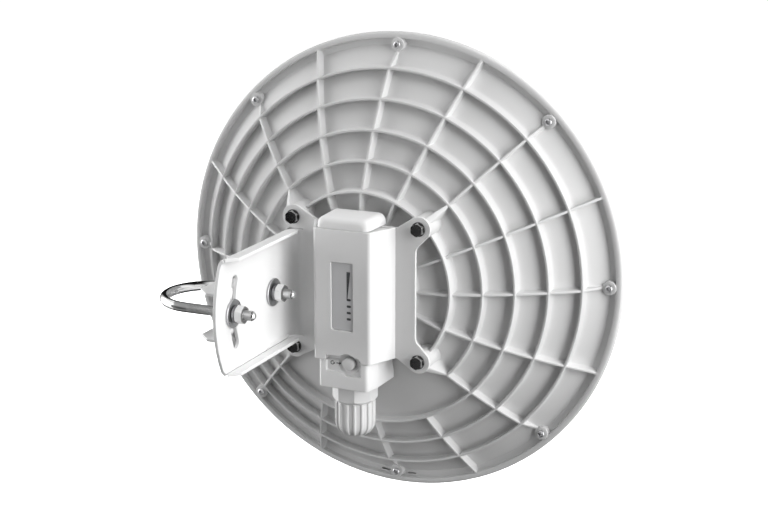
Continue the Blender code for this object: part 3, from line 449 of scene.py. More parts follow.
bores = bmesh.new()
upright = Matrix.Rotation(math.pi / 2, 4, "X")
for places, bore_r, middle_y in ((RIM_SCREWS, SCREW_BORE_R, 6.0), (BOLTS, BOLT_BORE_R, -76.0)):
    for x, z in places:
        bmesh.ops.create_cone(bores, cap_ends=True, segments=24, radius1=bore_r, radius2=bore_r, depth=16.0,
                              matrix=Matrix.Translation((x, middle_y, z)) @ upright)
# Two slits low in the lip let the rain out.
SLIT_R, SLIT_SWING = 192.5, 3.7
for side in (-1, 1):
    angle = math.radians(270.0 + side * SLIT_SWING)
    slit = bmesh.ops.create_cube(bores, size=1.0)["verts"]
    bmesh.ops.scale(bores, verts=slit, vec=(1.4, 10.0, 8.7))
    bmesh.ops.rotate(bores, verts=slit, cent=(0.0, 0.0, 0.0), matrix=Matrix.Rotation(-angle, 3, "Y"))
    bmesh.ops.translate(bores, verts=slit, vec=(SLIT_R * math.cos(angle), 9.0, SLIT_R * math.sin(angle)))
shell = combined(shell, bores, "DIFFERENCE")
piece("reflector_shell_moulding", shell, DISH_PLACE, dish_plastic, "dish",
      ["reflector_shell"])

# Radome: the shallow domed front, moulded in the same plastic as the housing's cover. Its edge sits on the
# shell's lip, and the eight rim screws draw it down from behind.
cover_plastic = moulded_plastic("cover_plastic", (0.8, 0.8, 0.8), 0.42, 0.16)
seat_y = 10.9
rim_y = seat_y + 4.6
dome = [(radius, rim_y + 15.0 * (1.0 - (radius / 183.0) ** 2)) for radius in range(0, 181, 10)]
edge = [(186.0, rim_y - 0.35), (192.4, rim_y - 0.1), (198.0, rim_y - 0.6), (199.3, rim_y - 1.2)]
edge += [(199.9, rim_y - 2.0), (200.0, rim_y - 2.8), (200.0, seat_y + 0.4), (199.6, seat_y), (183.0, seat_y)]
under = [(radius, height - 2.0) for radius, height in reversed(dome)]
piece("radome_dome", lathe(dome + edge + under, 192), DISH_PLACE, cover_plastic, "dish",
      ["radome"])

# Rim screws: eight pan-head screws of plated steel, driven from behind through the shell's bosses into the
# radome. Each has a tapered cross recess, and each has stopped at its own angle.


def plated_steel(name, colour, roughness, scratches=0.06):
    """Plated steel: a clear metal shine, clouded by the bath, with fine scratches along X."""
    roughnesses = (roughness * 0.85, roughness * 1.2)
    material, place = clouded_finish(name, colour, 160.0, 3.0, (0.93, 1.05), roughnesses)
    tree = material.node_tree
    tree.nodes["Principled BSDF"].inputs["Metallic"].default_value = 1.0
    stretch = tree.nodes.new("ShaderNodeMapping")
    stretch.inputs["Scale"].default_value = (40.0, 2600.0, 2600.0)
    tree.links.new(place, stretch.inputs["Vector"])
    uneven(material, noise(tree, stretch.outputs["Vector"], 1.0, 2.0), scratches, 0.00003)
    return material


def closed_line(bm, points):
    """A closed line of edges through points."""
    verts = [bm.verts.new(point) for point in points]
    return [bm.edges.new(pair) for pair in zip(verts, verts[1:] + verts[:1])]


def lofted(outlines):
    """A closed shape through a row of outlines that have the same number of points."""
    bm = bmesh.new()
    lines = [closed_line(bm, outline) for outline in outlines]
    for first, second in zip(lines, lines[1:]):
        bmesh.ops.bridge_loops(bm, edges=first + second)
    for line in (lines[0], lines[-1]):
        bmesh.ops.contextual_create(bm, geom=line)
    bmesh.ops.recalc_face_normals(bm, faces=bm.faces[:])
    return bm


screw_steel = plated_steel("rim_screw_steel", (0.62, 0.62, 0.63), 0.3)
SCREW_SEAT = 1.6
head = lathe([(0.0, 14.0), (1.1, 13.6), (1.6, 12.6), (1.6, SCREW_SEAT), (3.15, SCREW_SEAT),
              (3.2, SCREW_SEAT - 0.1), (3.2, SCREW_SEAT - 0.7), (3.05, SCREW_SEAT - 1.15),
              (2.7, SCREW_SEAT - 1.55), (2.1, SCREW_SEAT - 1.85), (1.2, SCREW_SEAT - 2.04),
              (0.0, SCREW_SEAT - 2.1)], 40)
crosses = []
for height, reach, half in ((SCREW_SEAT - 2.8, 2.3, 0.85), (SCREW_SEAT + 0.3, 0.9, 0.6)):
    corner = [(reach, half), (half, half), (half, reach), (-half, reach), (-half, half), (-reach, half)]
    crosses.append([(x, height, z) for x, z in corner + [(-x, -z) for x, z in corner]])
head = combined(head, lofted(crosses), "DIFFERENCE")
SCREW_TURNS = (20, 65, 8, 40, 75, 30, 55, 12)
for number, ((x, z), degrees) in enumerate(zip(RIM_SCREWS, SCREW_TURNS), start=1):
    turned = Matrix.Translation((x, 0.0, z)) @ Matrix.Rotation(math.radians(degrees), 4, "Y")
    piece(f"pan_screw_{number}", head.copy(), DISH_PLACE @ turned, screw_steel, "dish",
          [f"rim_screw_{number}"])
head.free()

# Mounting plate: one laser-cut, bent steel sheet with a pale powder coat. The back plate has four ears,
# and the side plate has stiffening flanges, the pivot hole and the arc slot for the tilt. The coat has orange
# peel a millimetre or two across, under a thin clear gloss.
coated_steel = moulded_plastic("coated_steel", (0.8, 0.8, 0.8), 0.38, 0.18, 750.0, 1.0)
coat = coated_steel.node_tree.nodes["Principled BSDF"]
coat.inputs["Coat Weight"].default_value = 0.2
coat.inputs["Coat Roughness"].default_value = 0.22
SHEET = 2.8
PLATE_Y = -83.0
EAR_R = 10.0
SIDE_INNER_X = -57.2
BEND_R = 10.0
BEND_HALF = 45.4
# The side plate turns on one leg of the U-bolt, and its slot slides along the other, 22 degrees either way.
PIVOT_Y = -119.2
LEG_SPACING = 67.7
LEG_BORE_R = 4.5
TILT = 22.0
SIDE_REACH = 94.4
# Its flanges, bent inwards along both edges, start past the bend and end in a slanted corner.
FLANGE_START_Y = -94.0
FLANGE_FOLD_Z = 41.8
FLANGE_BEND_R = 3.0
FLANGE_REACH = 7.7
FLANGE_CORNER = (-46.5, -193.4, 0.0)


def rounded(corners, steps=6):
    """A closed outline from (x, y, radius) corners, each rounded by its own radius."""
    outline = []
    for index, (x, y, radius) in enumerate(corners):
        here = Vector((x, y))
        before = (Vector(corners[index - 1][:2]) - here).normalized()
        after = (Vector(corners[(index + 1) % len(corners)][:2]) - here).normalized()
        if radius <= 0:
            outline.append((x, y))
            continue
        half = before.angle(after) / 2
        middle = here + (before + after).normalized() * (radius / math.sin(half))
        first = here + before * (radius / math.tan(half)) - middle
        last = here + after * (radius / math.tan(half)) - middle
        sweep = first.angle_signed(last)
        for step in range(steps + 1):
            spoke = first.copy()
            spoke.rotate(Matrix.Rotation(-sweep * step / steps, 2))
            outline.append(tuple(middle + spoke))
    return outline


def flat_face(bm, *loops):
    """A flat face, with holes, inside loops of points."""
    edges = [edge for loop in loops for edge in closed_line(bm, loop)]
    bmesh.ops.triangle_fill(bm, use_beauty=True, use_dissolve=False, edges=edges)


def edges_where(bm, test):
    """The edges whose two ends both pass a test."""
    return [edge for edge in bm.edges if all(test(vert.co) for vert in edge.verts)]


def bend(bm, edges, centre, axis, angle, steps):
    """Bend a sheet on from its edges round a centre, and give the edges where the bend ends."""
    ends = dict.fromkeys(vert for edge in edges for vert in edge.verts)
    turned = bmesh.ops.spin(bm, geom=edges + list(ends), cent=centre, axis=axis, dvec=(0.0, 0.0, 0.0),
                            angle=angle, steps=steps, use_merge=False, use_duplicate=False)
    return [item for item in turned["geom_last"] if isinstance(item, bmesh.types.BMEdge)]


def draw_out(bm, edges, step):
    """Draw a sheet on from its edges by one flat step."""
    drawn = bmesh.ops.extrude_edge_only(bm, edges=edges)["geom"]
    bmesh.ops.translate(bm, verts=[item for item in drawn if isinstance(item, bmesh.types.BMVert)], vec=step)


def weld_skin(bm, outside):
    """Weld a skin's seams, join its flat triangles, and turn its faces towards a direction."""
    bmesh.ops.remove_doubles(bm, verts=bm.verts[:], dist=0.001)
    bmesh.ops.dissolve_limit(bm, angle_limit=math.radians(0.5), use_dissolve_boundaries=False,
                             verts=bm.verts[:], edges=bm.edges[:])
    bmesh.ops.recalc_face_normals(bm, faces=bm.faces[:])
    bm.faces.ensure_lookup_table()
    widest = max(bm.faces, key=lambda face: face.calc_area())
    if widest.normal.dot(Vector(outside)) < 0:
        bmesh.ops.reverse_faces(bm, faces=bm.faces[:])


def thicken(made, thickness, edge, segments=2):
    """Give a skin its thickness behind its faces, and take the sharpness off its edges."""
    if thickness:
        wall = made.modifiers.new("wall", "SOLIDIFY")
        wall.thickness = thickness * 0.001
        wall.offset = -1.0
        wall.use_even_offset = True
        wall.use_quality_normals = True
    rounding = made.modifiers.new("edges", "BEVEL")
    rounding.width = edge * 0.001
    rounding.segments = segments
    rounding.limit_method = "ANGLE"
    rounding.angle_limit = math.radians(40)
    rounding.use_clamp_overlap = False
    rounding.harden_normals = True
    made.modifiers.new("even_shading", "WEIGHTED_NORMAL").keep_sharp = True


plate = bmesh.new()
bend_x = SIDE_INNER_X + BEND_R
bend_y = PLATE_Y - BEND_R
ear = arc(BOLTS[0], EAR_R, 270, 60, 28)
upper = [(bend_x, BEND_HALF), (bend_x - 0.5, 46.0)] + ear + [(-34.1, 54.9), (36.9, 55.1)]
upper += arc(BOLTS[1], EAR_R, 128, -42, 24)
inner_corner = rounded([(63.49, 49.01, 0.0), (53.4, 38.6, 7.0), (53.4, 0.0, 0.0)], 6)
upper += inner_corner[1:-1]
back_outline = upper + [(x, -z) for x, z in reversed(upper)]
holes = [[(bx + x, PLATE_Y, bz + z) for x, z in arc((0.0, 0.0), BOLT_BORE_R, 0, 345, 23)] for bx, bz in BOLTS]
flat_face(plate, [(x, PLATE_Y, z) for x, z in back_outline], *holes)
bend_edge = edges_where(plate, lambda co: abs(co.x - bend_x) < 0.01 and abs(co.z) < BEND_HALF + 0.01)
bend(plate, bend_edge, (bend_x, bend_y, 0.0), (0.0, 0.0, 1.0), math.pi / 2, 18)


def side_edge_y(z):
    """The side plate's far edge, an arc about the pivot."""
    return PIVOT_Y - math.sqrt(SIDE_REACH * SIDE_REACH - z * z)


heights = [FLANGE_FOLD_Z * step / 16 for step in range(-16, 17)]
near = [(bend_y, BEND_HALF), (FLANGE_START_Y, BEND_HALF), (FLANGE_START_Y, FLANGE_FOLD_Z)]
side_outline = [(y, -z) for y, z in near] + [(side_edge_y(z), z) for z in heights] + near[::-1]
low_end, high_end = 180.0 - TILT, 180.0 + TILT
low_middle, _, high_middle = arc((PIVOT_Y, 0.0), LEG_SPACING, low_end, high_end, 2)
slot = arc((PIVOT_Y, 0.0), LEG_SPACING + LEG_BORE_R, low_end, high_end, 24)
slot += arc(high_middle, LEG_BORE_R, high_end, high_end + 180.0, 12)[1:-1]
slot += arc((PIVOT_Y, 0.0), LEG_SPACING - LEG_BORE_R, high_end, low_end, 24)
slot += arc(low_middle, LEG_BORE_R, low_end - 180.0, low_end, 12)[1:-1]
pivot = arc((PIVOT_Y, 0.0), LEG_BORE_R, 0, 350, 35)
flat_face(plate, *[[(SIDE_INNER_X, y, z) for y, z in loop] for loop in (side_outline, slot, pivot)])
for side in (1, -1):
    fold = edges_where(plate, lambda co: abs(co.x - SIDE_INNER_X) < 0.01 and co.y < FLANGE_START_Y + 0.1
                       and abs(co.z - side * FLANGE_FOLD_Z) < 0.01)
    flange_edge = bend(plate, fold, (SIDE_INNER_X + FLANGE_BEND_R, 0.0, side * FLANGE_FOLD_Z),
                       (0.0, 1.0, 0.0), side * math.pi / 2, 8)
    draw_out(plate, flange_edge, (FLANGE_REACH, 0.0, 0.0))
for vert in plate.verts:
    if vert.co.y < side_edge_y(FLANGE_FOLD_Z + FLANGE_BEND_R) + 4.0:
        vert.co.y = side_edge_y(vert.co.z)
flange_z = FLANGE_FOLD_Z + FLANGE_BEND_R - 0.1
for side in (1, -1):
    strip = [face for face in plate.faces
             if all(side * vert.co.z > flange_z and vert.co.y < FLANGE_START_Y + 0.5 for vert in face.verts)]
    parts = strip + list(dict.fromkeys(edge for face in strip for edge in face.edges))
    parts += list(dict.fromkeys(vert for face in strip for vert in face.verts))
    bmesh.ops.bisect_plane(plate, geom=parts, dist=0.0001, plane_co=FLANGE_CORNER,
                           plane_no=(1.0, -1.0, 0.0), clear_outer=True)
weld_skin(plate, (0.0, -1.0, 0.0))
made = piece("mounting_plate_sheet", plate, DISH_PLACE, coated_steel, "dish",
             ["mounting_plate"])
thicken(made, SHEET, 0.35)

# Plate bolts: four hexagon flange bolts of bright plated steel, through the plate's ears into the shell's
# bosses. Their smooth tops mirror the studio, and the head is coloured near black low down, round the flange.


def along_object(tree, axis):
    """A place along X, Y or Z, in metres."""
    place = tree.nodes.new("ShaderNodeTexCoord")
    split = tree.nodes.new("ShaderNodeSeparateXYZ")
    tree.links.new(place.outputs["Object"], split.inputs["Vector"])
    return split.outputs[axis]


def two_toned(material, axis, start, end, first, last):
    """Turn a finish from one grey to another between two places along an axis."""
    tree = material.node_tree
    blend = spread(tree, along_object(tree, axis), start, end, first, last)
    tree.links.new(blend.outputs["Result"], tree.nodes["Principled BSDF"].inputs["Base Color"])


bolt_steel = plated_steel("plate_bolt_steel", (0.58, 0.58, 0.59), 0.13)
two_toned(bolt_steel, "Y", 0.0682, 0.0686, 0.5, 0.07)
BOLT_SEAT = PLATE_Y - 0.3
BOLT_HEX_R = 5.7
BOLT_TOP = -88.2


def hexagon(radius, low, high, chamfer):
    """A hexagonal head about Y between two heights, its far corners cut by a cone."""
    head = bmesh.new()
    bmesh.ops.create_cone(head, cap_ends=True, segments=6, radius1=radius, radius2=radius, depth=high - low,
                          matrix=Matrix.Translation((0.0, (low + high) / 2, 0.0)) @ upright)
    cone = lathe([(0.0, low), (radius + 0.1 - 1.73 * chamfer, low), (radius + 0.1, low + chamfer),
                  (radius + 0.1, high + 1.0), (0.0, high + 1.0)], 48)
    return combined(head, cone, "INTERSECT")


flange = lathe([(0.0, -68.0), (2.6, -68.0), (3.0, -68.6), (3.0, BOLT_SEAT), (5.8, BOLT_SEAT),
                (5.95, BOLT_SEAT - 0.15), (5.95, BOLT_SEAT - 0.85), (5.75, BOLT_SEAT - 1.1),
                (0.0, BOLT_SEAT - 1.1)], 48)
bolt = combined(flange, hexagon(BOLT_HEX_R, BOLT_TOP, BOLT_SEAT - 0.9, 0.42), "UNION")
for number, (x, z) in enumerate(BOLTS, start=1):
    in_ear = DISH_PLACE @ Matrix.Translation((x, 0.0, z))
    made = piece(f"flange_bolt_{number}", bolt.copy(), in_ear, bolt_steel, "dish",
                 [f"plate_bolt_{number}"])
    thicken(made, 0.0, 0.12)
bolt.free()

# Housing cover: one plastic moulding, a flat front with two sloping sides, that clips over the radio and
# stands open above and below. Its front has the label's window and a notch round the button's recess.
COVER_Y = -109.5
COVER_TOP = 55.2
COVER_HALF = 24.6
COVER_SLOPE = (36.4 - COVER_HALF) / 26.5
COVER_WALL = 2.4
CORNER = 3.8
lean = math.atan(COVER_SLOPE)
face_half = COVER_HALF - CORNER * math.tan((math.pi / 2 - lean) / 2)


def cover_half(y):
    """Half the cover's width at a depth, outside."""
    return COVER_HALF + COVER_SLOPE * (y - COVER_Y)


cover = bmesh.new()
window = rounded([(-9.4, -28.8, 2.2), (9.9, -28.8, 0.8), (9.9, 28.3, 0.8), (-9.4, 28.3, 0.8)])
BUTTON = (4.5, -57.5)
notch = [(17.2, -COVER_TOP, 0.0), (15.0, -51.1, 0.9)]
notch += [(x, z, 0.0) for x, z in arc(BUTTON, 9.2, 47.0, 133.0, 14)]
notch += [(-15.0, -50.9, 0.5), (-15.0, -COVER_TOP, 0.0)]
corners = ((-face_half, -COVER_TOP), (-face_half, COVER_TOP), (face_half, COVER_TOP), (face_half, -COVER_TOP))
low_edge = rounded([(face_half, -COVER_TOP, 0.0)] + notch + [(-face_half, -COVER_TOP, 0.0)], 5)
front_outline = [*corners, *low_edge[1:-1]]
flat_face(cover, *[[(x, COVER_Y, z) for x, z in loop] for loop in (front_outline, window)])
for side in (1, -1):
    border = edges_where(cover, lambda co: abs(co.x - side * face_half) < 0.01)
    side_edge = bend(cover, border, (side * face_half, COVER_Y + CORNER, 0.0), (0.0, 0.0, 1.0),
                     side * (math.pi / 2 - lean), 8)
    reach = (PLATE_Y - 0.3) - side_edge[0].verts[0].co.y
    draw_out(cover, side_edge, (side * reach * COVER_SLOPE, reach, 0.0))
weld_skin(cover, (0.0, -1.0, 0.0))
thicken(piece("cover_shell", cover, DISH_PLACE, cover_plastic, "dish", ["housing_cover"]),
        COVER_WALL, 0.5, 3)

# Radio core: the sealed plastic housing of the radio, which the cover closes round. A rounded cap stands
# above the cover, and the lower body has the button's recess with a finger scoop round it.


def prism(outline, low, high, axis="Z"):
    """A closed prism along Z from (x, y) points, or along Y from (x, z) points."""
    made = bmesh.new()
    flat_face(made, [(x, y, low) if axis == "Z" else (x, low, y) for x, y in outline])
    grown = bmesh.ops.extrude_face_region(made, geom=made.faces[:])["geom"]
    step = (0.0, 0.0, high - low) if axis == "Z" else (0.0, high - low, 0.0)
    moved = [item for item in grown if isinstance(item, bmesh.types.BMVert)]
    bmesh.ops.translate(made, verts=moved, vec=step)
    bmesh.ops.dissolve_limit(made, angle_limit=math.radians(0.5), use_dissolve_boundaries=False,
                             verts=made.verts[:], edges=made.edges[:])
    bmesh.ops.recalc_face_normals(made, faces=made.faces[:])
    return made


# The block that the cover's front and sides close round, about 0.3 mm clear of them.
inner_y, outer_y = COVER_Y + COVER_WALL + 0.3, PLATE_Y - 0.3
trim = COVER_WALL / math.cos(lean) + 0.35
half_block = [(cover_half(inner_y) - trim, inner_y), (cover_half(outer_y) - trim, outer_y)]
core = prism([(-half_block[0][0], inner_y), *half_block, (-half_block[1][0], outer_y)], -54.0, 54.0)

# The cap: outlines that swell from its rounded front edge and run back to the plate, a little wider there.
CAP_Y, CAP_TOP, CAP_CORNER, CAP_HALF, CAP_LOW = -108.7, 64.5, 5.0, 22.9, 55.5
CAP_DEPTHS = (0.0, 0.12, 0.4, 0.9, 1.6, 2.6, 3.8, 5.0, 9.0, 16.0, 24.0, 32.4, 32.8, 32.9)
outlines = []
for depth in CAP_DEPTHS:
    near = max(0.0, CAP_CORNER - depth)
    inset = CAP_CORNER - math.sqrt(CAP_CORNER ** 2 - near ** 2) + max(0.0, depth - CAP_DEPTHS[-3]) * 0.8
    half = CAP_HALF + 1.5 * depth / CAP_DEPTHS[-1] - inset
    top = CAP_TOP - inset
    shoulder = min(6.5, top - CAP_LOW)
    line = [(half, CAP_LOW)] + arc((half - shoulder, top - shoulder), shoulder, 0, 90, 12)
    line += [(-x, z) for x, z in reversed(line)]
    outlines.append([(x, CAP_Y + depth, z) for x, z in line])
cap = lofted(outlines)

# The lower body, cut off aslant behind and rounded along its edges, and the neck that joins all three.
LOWER_LOW = -78.8
section = rounded([(26.0, -62.0, 0.0), (25.2, -93.5, 8.0), (22.3, CAP_Y, 3.6), (-20.9, CAP_Y, 3.6),
                   (-25.2, -93.5, 8.0), (-26.0, -62.0, 0.0)], 8)
lower = prism(section, LOWER_LOW, -CAP_LOW)
slice_off(lower, (0.0, -68.2, -55.0), (0.0, 24.5, 7.2))
slice_off(lower, (0.0, -63.0, -75.0), (0.0, 1.0, 0.0))
low_edges = [edge for edge in lower.edges if edge.calc_face_angle(0.0) > 0.7]
bmesh.ops.bevel(lower, geom=low_edges, offset=0.7, offset_type="OFFSET", segments=3, profile=0.5,
                affect="EDGES", material=-1, clamp_overlap=True)
neck = prism([(-17.9, -103.7), (17.9, -103.7), (17.9, -85.0), (-17.9, -85.0)], -58.0, 58.0)
for part in (cap, lower, neck):
    core = combined(core, part, "UNION")

# The button's recess with its stepped lower edge, the finger scoop, and the bore that the button moves in.
RECESS_Y = -104.9
recess = [(-14.9, -46.0, 0.0), (-14.9, -64.6, 1.6), (-1.6, -65.0, 2.0), (3.0, -67.7, 3.0), (9.0, -67.4, 2.0),
          (16.9, -67.2, 0.5), (16.9, -46.0, 0.0)]
core = combined(core, prism(rounded(recess), -112.0, RECESS_Y, "Y"), "DIFFERENCE")
scoop = lathe([(0.0, -101.0), (5.75, -101.0), (5.75, -103.2), (6.1, -103.4), (7.6, -103.7), (8.9, -104.3),
               (9.4, -105.0), (9.4, -112.0), (0.0, -112.0)], 72)
bmesh.ops.translate(scoop, verts=scoop.verts[:], vec=(BUTTON[0], 0.0, BUTTON[1]))
core = combined(core, scoop, "DIFFERENCE")
piece("core_housing", core, DISH_PLACE, cover_plastic, "dish", ["radio_core"])

# Label window: a grey polyester film behind the cover's opening, printed with a wedge scale and four
# plain marks. A turning arrow and a pointer are printed in the button's recess in place of words.
label_film = moulded_plastic("label_film", (0.62, 0.62, 0.63), 0.32, 0.04)
FILM_Y = -107.9
INK = 0.06
film = bmesh.new()
sheet = rounded([(-9.1, -28.5, 2.0), (9.6, -28.5, 0.6), (9.6, 28.0, 0.6), (-9.1, 28.0, 0.6)])
flat_face(film, [(x, FILM_Y, z) for x, z in sheet])
weld_skin(film, (0.0, -1.0, 0.0))
thicken(piece("label_sheet", film, DISH_PLACE, label_film, "dish", ["label_plate"]), 0.8, 0.15)
ink = moulded_plastic("label_ink", (0.07, 0.07, 0.075), 0.4, 0.03)
marks = bmesh.new()
on_film = [rounded([(3.9, 20.8, 0.15), (7.2, 20.8, 0.15), (4.5, -3.0, 0.12), (3.9, -3.0, 0.12)], 3)]
for z in (-2.5, -8.0, -13.4, -18.7):
    on_film.append(rounded([(3.9, z - 1.0, 0.99), (7.7, z - 1.0, 0.99), (7.7, z + 1.0, 0.99),
                            (3.9, z + 1.0, 0.99)]))
for outline in on_film:
    flat_face(marks, [(x, FILM_Y - INK - 0.02, z) for x, z in outline])
TURN_ARROW = (-10.6, -58.2)
turn_arrow = arc(TURN_ARROW, 1.75, 50, 340, 24) + arc(TURN_ARROW, 1.15, 340, 50, 24)
arrow_head = [(-9.9, -59.6), (-8.1, -58.6), (-9.5, -57.5)]
pointer = [(-7.0, -58.55), (-4.4, -58.55), (-4.4, -59.5), (-2.6, -58.2), (-4.4, -56.9), (-4.4, -57.85),
           (-7.0, -57.85)]
for outline in (turn_arrow, arrow_head, pointer):
    flat_face(marks, [(x, RECESS_Y - INK, z) for x, z in outline])
weld_skin(marks, (0.0, -1.0, 0.0))
thicken(piece("label_print", marks, DISH_PLACE, ink, "dish", []), INK, 0.01, 1)

# Reset button: a round domed push button, moulded in the gland's plastic. It stands in the core's scoop on
# a spring of its own, and moves in by one millimetre.
gland_plastic = moulded_plastic("gland_plastic", (0.7, 0.7, 0.7), 0.36, 0.12)
button = lathe([(0.0, -103.4), (5.0, -103.4), (5.4, -103.8), (5.4, -106.5), (5.28, -107.05), (4.9, -107.6),
                (4.1, -108.08), (2.8, -108.42), (1.4, -108.56), (0.0, -108.6)], 56)
in_scoop = DISH_PLACE @ Matrix.Translation((BUTTON[0], 0.0, BUTTON[1]))
piece("push_button", button, in_scoop, gland_plastic, "button", ["reset_button"])

# Cable gland: an octagonal body of grey plastic, screwed into the housing from below, a rubber seal in its
# neck, and the ribbed nut that squeezes the seal round the network cable.
GLAND_PLACE = DISH_PLACE @ Matrix.Translation((0.0, -84.0, 0.0))
BODY_TOP, BODY_LOW, NECK_LOW = -79.1, -94.3, -106.3
CABLE_R = 5.5
corner_r = 17.5 / math.cos(math.pi / 8)
octagon = prism(arc((0.0, 0.0), corner_r, 22.5, 337.5, 7), BODY_LOW, BODY_TOP)
cone = lathe([(0.0, BODY_TOP + 1.0), (30.0, BODY_TOP + 1.0), (30.0, BODY_LOW + 11.4), (16.6, BODY_LOW),
              (0.0, BODY_LOW)], 96, "Z")
octagon = combined(octagon, cone, "INTERSECT")
neck = lathe([(0.0, BODY_TOP - 4.0), (12.0, BODY_TOP - 4.0), (12.0, NECK_LOW + 0.6), (11.4, NECK_LOW),
              (0.0, NECK_LOW)], 48, "Z")
octagon = combined(octagon, neck, "UNION")
way = lathe([(0.0, BODY_TOP + 1.0), (CABLE_R, BODY_TOP + 1.0), (CABLE_R, BODY_LOW), (9.0, BODY_LOW),
             (9.0, NECK_LOW - 1.0), (0.0, NECK_LOW - 1.0)], 48, "Z")
octagon = combined(octagon, way, "DIFFERENCE")
thicken(piece("gland_octagon", octagon, GLAND_PLACE, gland_plastic, "dish", ["gland_body"]),
        0.0, 0.45, 3)

seal_rubber = moulded_plastic("seal_rubber", (0.035, 0.035, 0.035), 0.7, 0.5)
SEAL_TOP, SEAL_LOW = BODY_LOW - 0.3, NECK_LOW - 3.0
seal = lathe([(CABLE_R, SEAL_TOP), (8.7, SEAL_TOP), (8.7, SEAL_LOW + 0.5), (8.2, SEAL_LOW), (6.3, SEAL_LOW),
              (CABLE_R, SEAL_LOW + 0.8)], 48, "Z", True)
piece("seal_ring", seal, GLAND_PLACE, seal_rubber, "dish", ["gland_seal"])

NUT_TOP, NUT_LOW, NUT_RIBS, FLUTE_DEPTH = BODY_LOW - 0.3, -124.0, 16, 1.4
outer = [(16.0, NUT_TOP), (16.7, NUT_TOP - 0.4), (16.95, NUT_TOP - 1.2), (17.0, NUT_TOP - 2.4),
         (17.0, -104.0), (17.0, -110.0), (16.95, -114.0), (16.6, -116.4), (15.9, -118.6), (14.9, -120.6),
         (13.6, -122.2), (12.0, -123.3), (10.2, -123.9), (9.2, NUT_LOW)]
inside = [(7.6, NUT_LOW), (7.0, -123.4), (7.0, -119.0), (12.3, -114.0), (12.3, NUT_TOP)]
nut = lathe(outer + inside, NUT_RIBS * 16, "Z", True)
for vert in nut.verts:
    radius = math.hypot(vert.co.x, vert.co.y)
    if radius > 12.6 or (vert.co.z < -122.5 and radius > 9.5):
        turn = math.atan2(vert.co.y, vert.co.x) / math.tau * NUT_RIBS % 1.0
        away = abs(turn - 0.5) * 2.0
        flute = min(1.0, max(0.0, (0.78 - away) / 0.2)) * min(1.0, (NUT_TOP - vert.co.z) / 1.2)
        flute *= min(1.0, (radius - 9.5) / 4.0)
        vert.co.xy *= 1.0 - FLUTE_DEPTH * flute / radius
piece("ribbed_nut", nut, GLAND_PLACE, gland_plastic, "dish", ["gland_nut"], 28.0)

# U-bolt: an 8 mm rod bent half round the mast. The bend is polished chrome, and the legs, dull from
# the die, carry rolled threads to their rounded tips.
ROD_R = 4.0
BEND_X = 2.5
PITCH = 1.25
THREAD_START, THREAD_END = 4.5, 62.2
THREAD_DEPTH = 0.4
UP_ALONG_X = Matrix.Rotation(math.pi / 2, 4, "Y")
rod = bmesh.new()
ring = bmesh.ops.create_circle(rod, cap_ends=False, segments=32, radius=ROD_R,
                               matrix=Matrix.Translation((BEND_X, -LEG_SPACING / 2, 0.0)) @ UP_ALONG_X)
bmesh.ops.spin(rod, geom=ring["verts"] + rod.edges[:], cent=(BEND_X, 0.0, 0.0), axis=(0.0, 0.0, 1.0),
               dvec=(0.0, 0.0, 0.0), angle=-math.pi, steps=64, use_merge=False, use_duplicate=False)
threaded = THREAD_END - THREAD_START
rows = int(threaded / PITCH * 8)
leg_line = [(ROD_R, BEND_X)] + [(ROD_R, THREAD_START + threaded * row / rows) for row in range(rows + 1)]
leg_line += [(3.5, 63.0), (2.9, 63.9), (2.3, 64.5), (1.4, 64.9), (0.0, 65.0)]
for side in (1, -1):
    leg = lathe(leg_line, 32, "Z")
    for vert in leg.verts:
        if THREAD_START < vert.co.z < THREAD_END:
            turn = (vert.co.z / PITCH - side * math.atan2(vert.co.y, vert.co.x) / math.tau) % 1.0
            depth = THREAD_DEPTH * min(1.0, max(0.0, 1.25 - abs(turn - 0.5) * 4.0))
            depth *= min(1.0, (vert.co.z - THREAD_START) / 2.0, (THREAD_END - vert.co.z) / 1.0)
            vert.co.xy *= (ROD_R - depth) / ROD_R
    bmesh.ops.transform(leg, verts=leg.verts[:],
                        matrix=Matrix.Translation((0.0, side * LEG_SPACING / 2, 0.0)) @ UP_ALONG_X)
    add_part(rod, leg)
bmesh.ops.remove_doubles(rod, verts=rod.verts[:], dist=0.02)
bmesh.ops.recalc_face_normals(rod, faces=rod.faces[:])

# Its finish changes along X: the polished bend, a dark band painted where the bend runs into the legs as a
# painted reflection, the thread, the bright stud and the tip. The stretches are shares of the way from the
# start to the end, which are in metres.
CHROME_START, CHROME_END = -0.04, 0.07
CHROME_STOPS = ((0.0, 0.292), (0.3, 0.4), (0.42, 0.75), (0.79, 0.93), (0.94, 1.0))
# The second of these tones is a painted reflection: a dark band where the bend runs into the legs, not a mark
# on the rod.
CHROME_TONES_WITH_PAINTED_REFLECTION = (0.82, 0.28, 0.38, 0.6, 0.8)
CHROME_ROUGHNESS = (0.07, 0.3, 0.42, 0.3, 0.12)
chrome = plated_steel("u_bolt_chrome", (0.82, 0.82, 0.83), 0.06, 0.012)
tree = chrome.node_tree
along = spread(tree, along_object(tree, "X"), CHROME_START, CHROME_END, 0.0, 1.0)
for socket, levels in (("Base Color", CHROME_TONES_WITH_PAINTED_REFLECTION), ("Roughness", CHROME_ROUGHNESS)):
    finish = tree.nodes.new("ShaderNodeValToRGB")
    stops = [(spot, level) for stretch, level in zip(CHROME_STOPS, levels) for spot in stretch]
    finish.color_ramp.elements.remove(finish.color_ramp.elements[1])
    for number, (spot, level) in enumerate(stops):
        stop = finish.color_ramp.elements[0] if number == 0 else finish.color_ramp.elements.new(spot)
        stop.color = (level, level, level, 1.0)
    tree.links.new(along.outputs["Result"], finish.inputs["Fac"])
    tree.links.new(finish.outputs["Color"], tree.nodes["Principled BSDF"].inputs[socket])
piece("u_bolt_rod", rod, MILLIMETRES, chrome, "clamp", ["u_bolt"], 50.0)

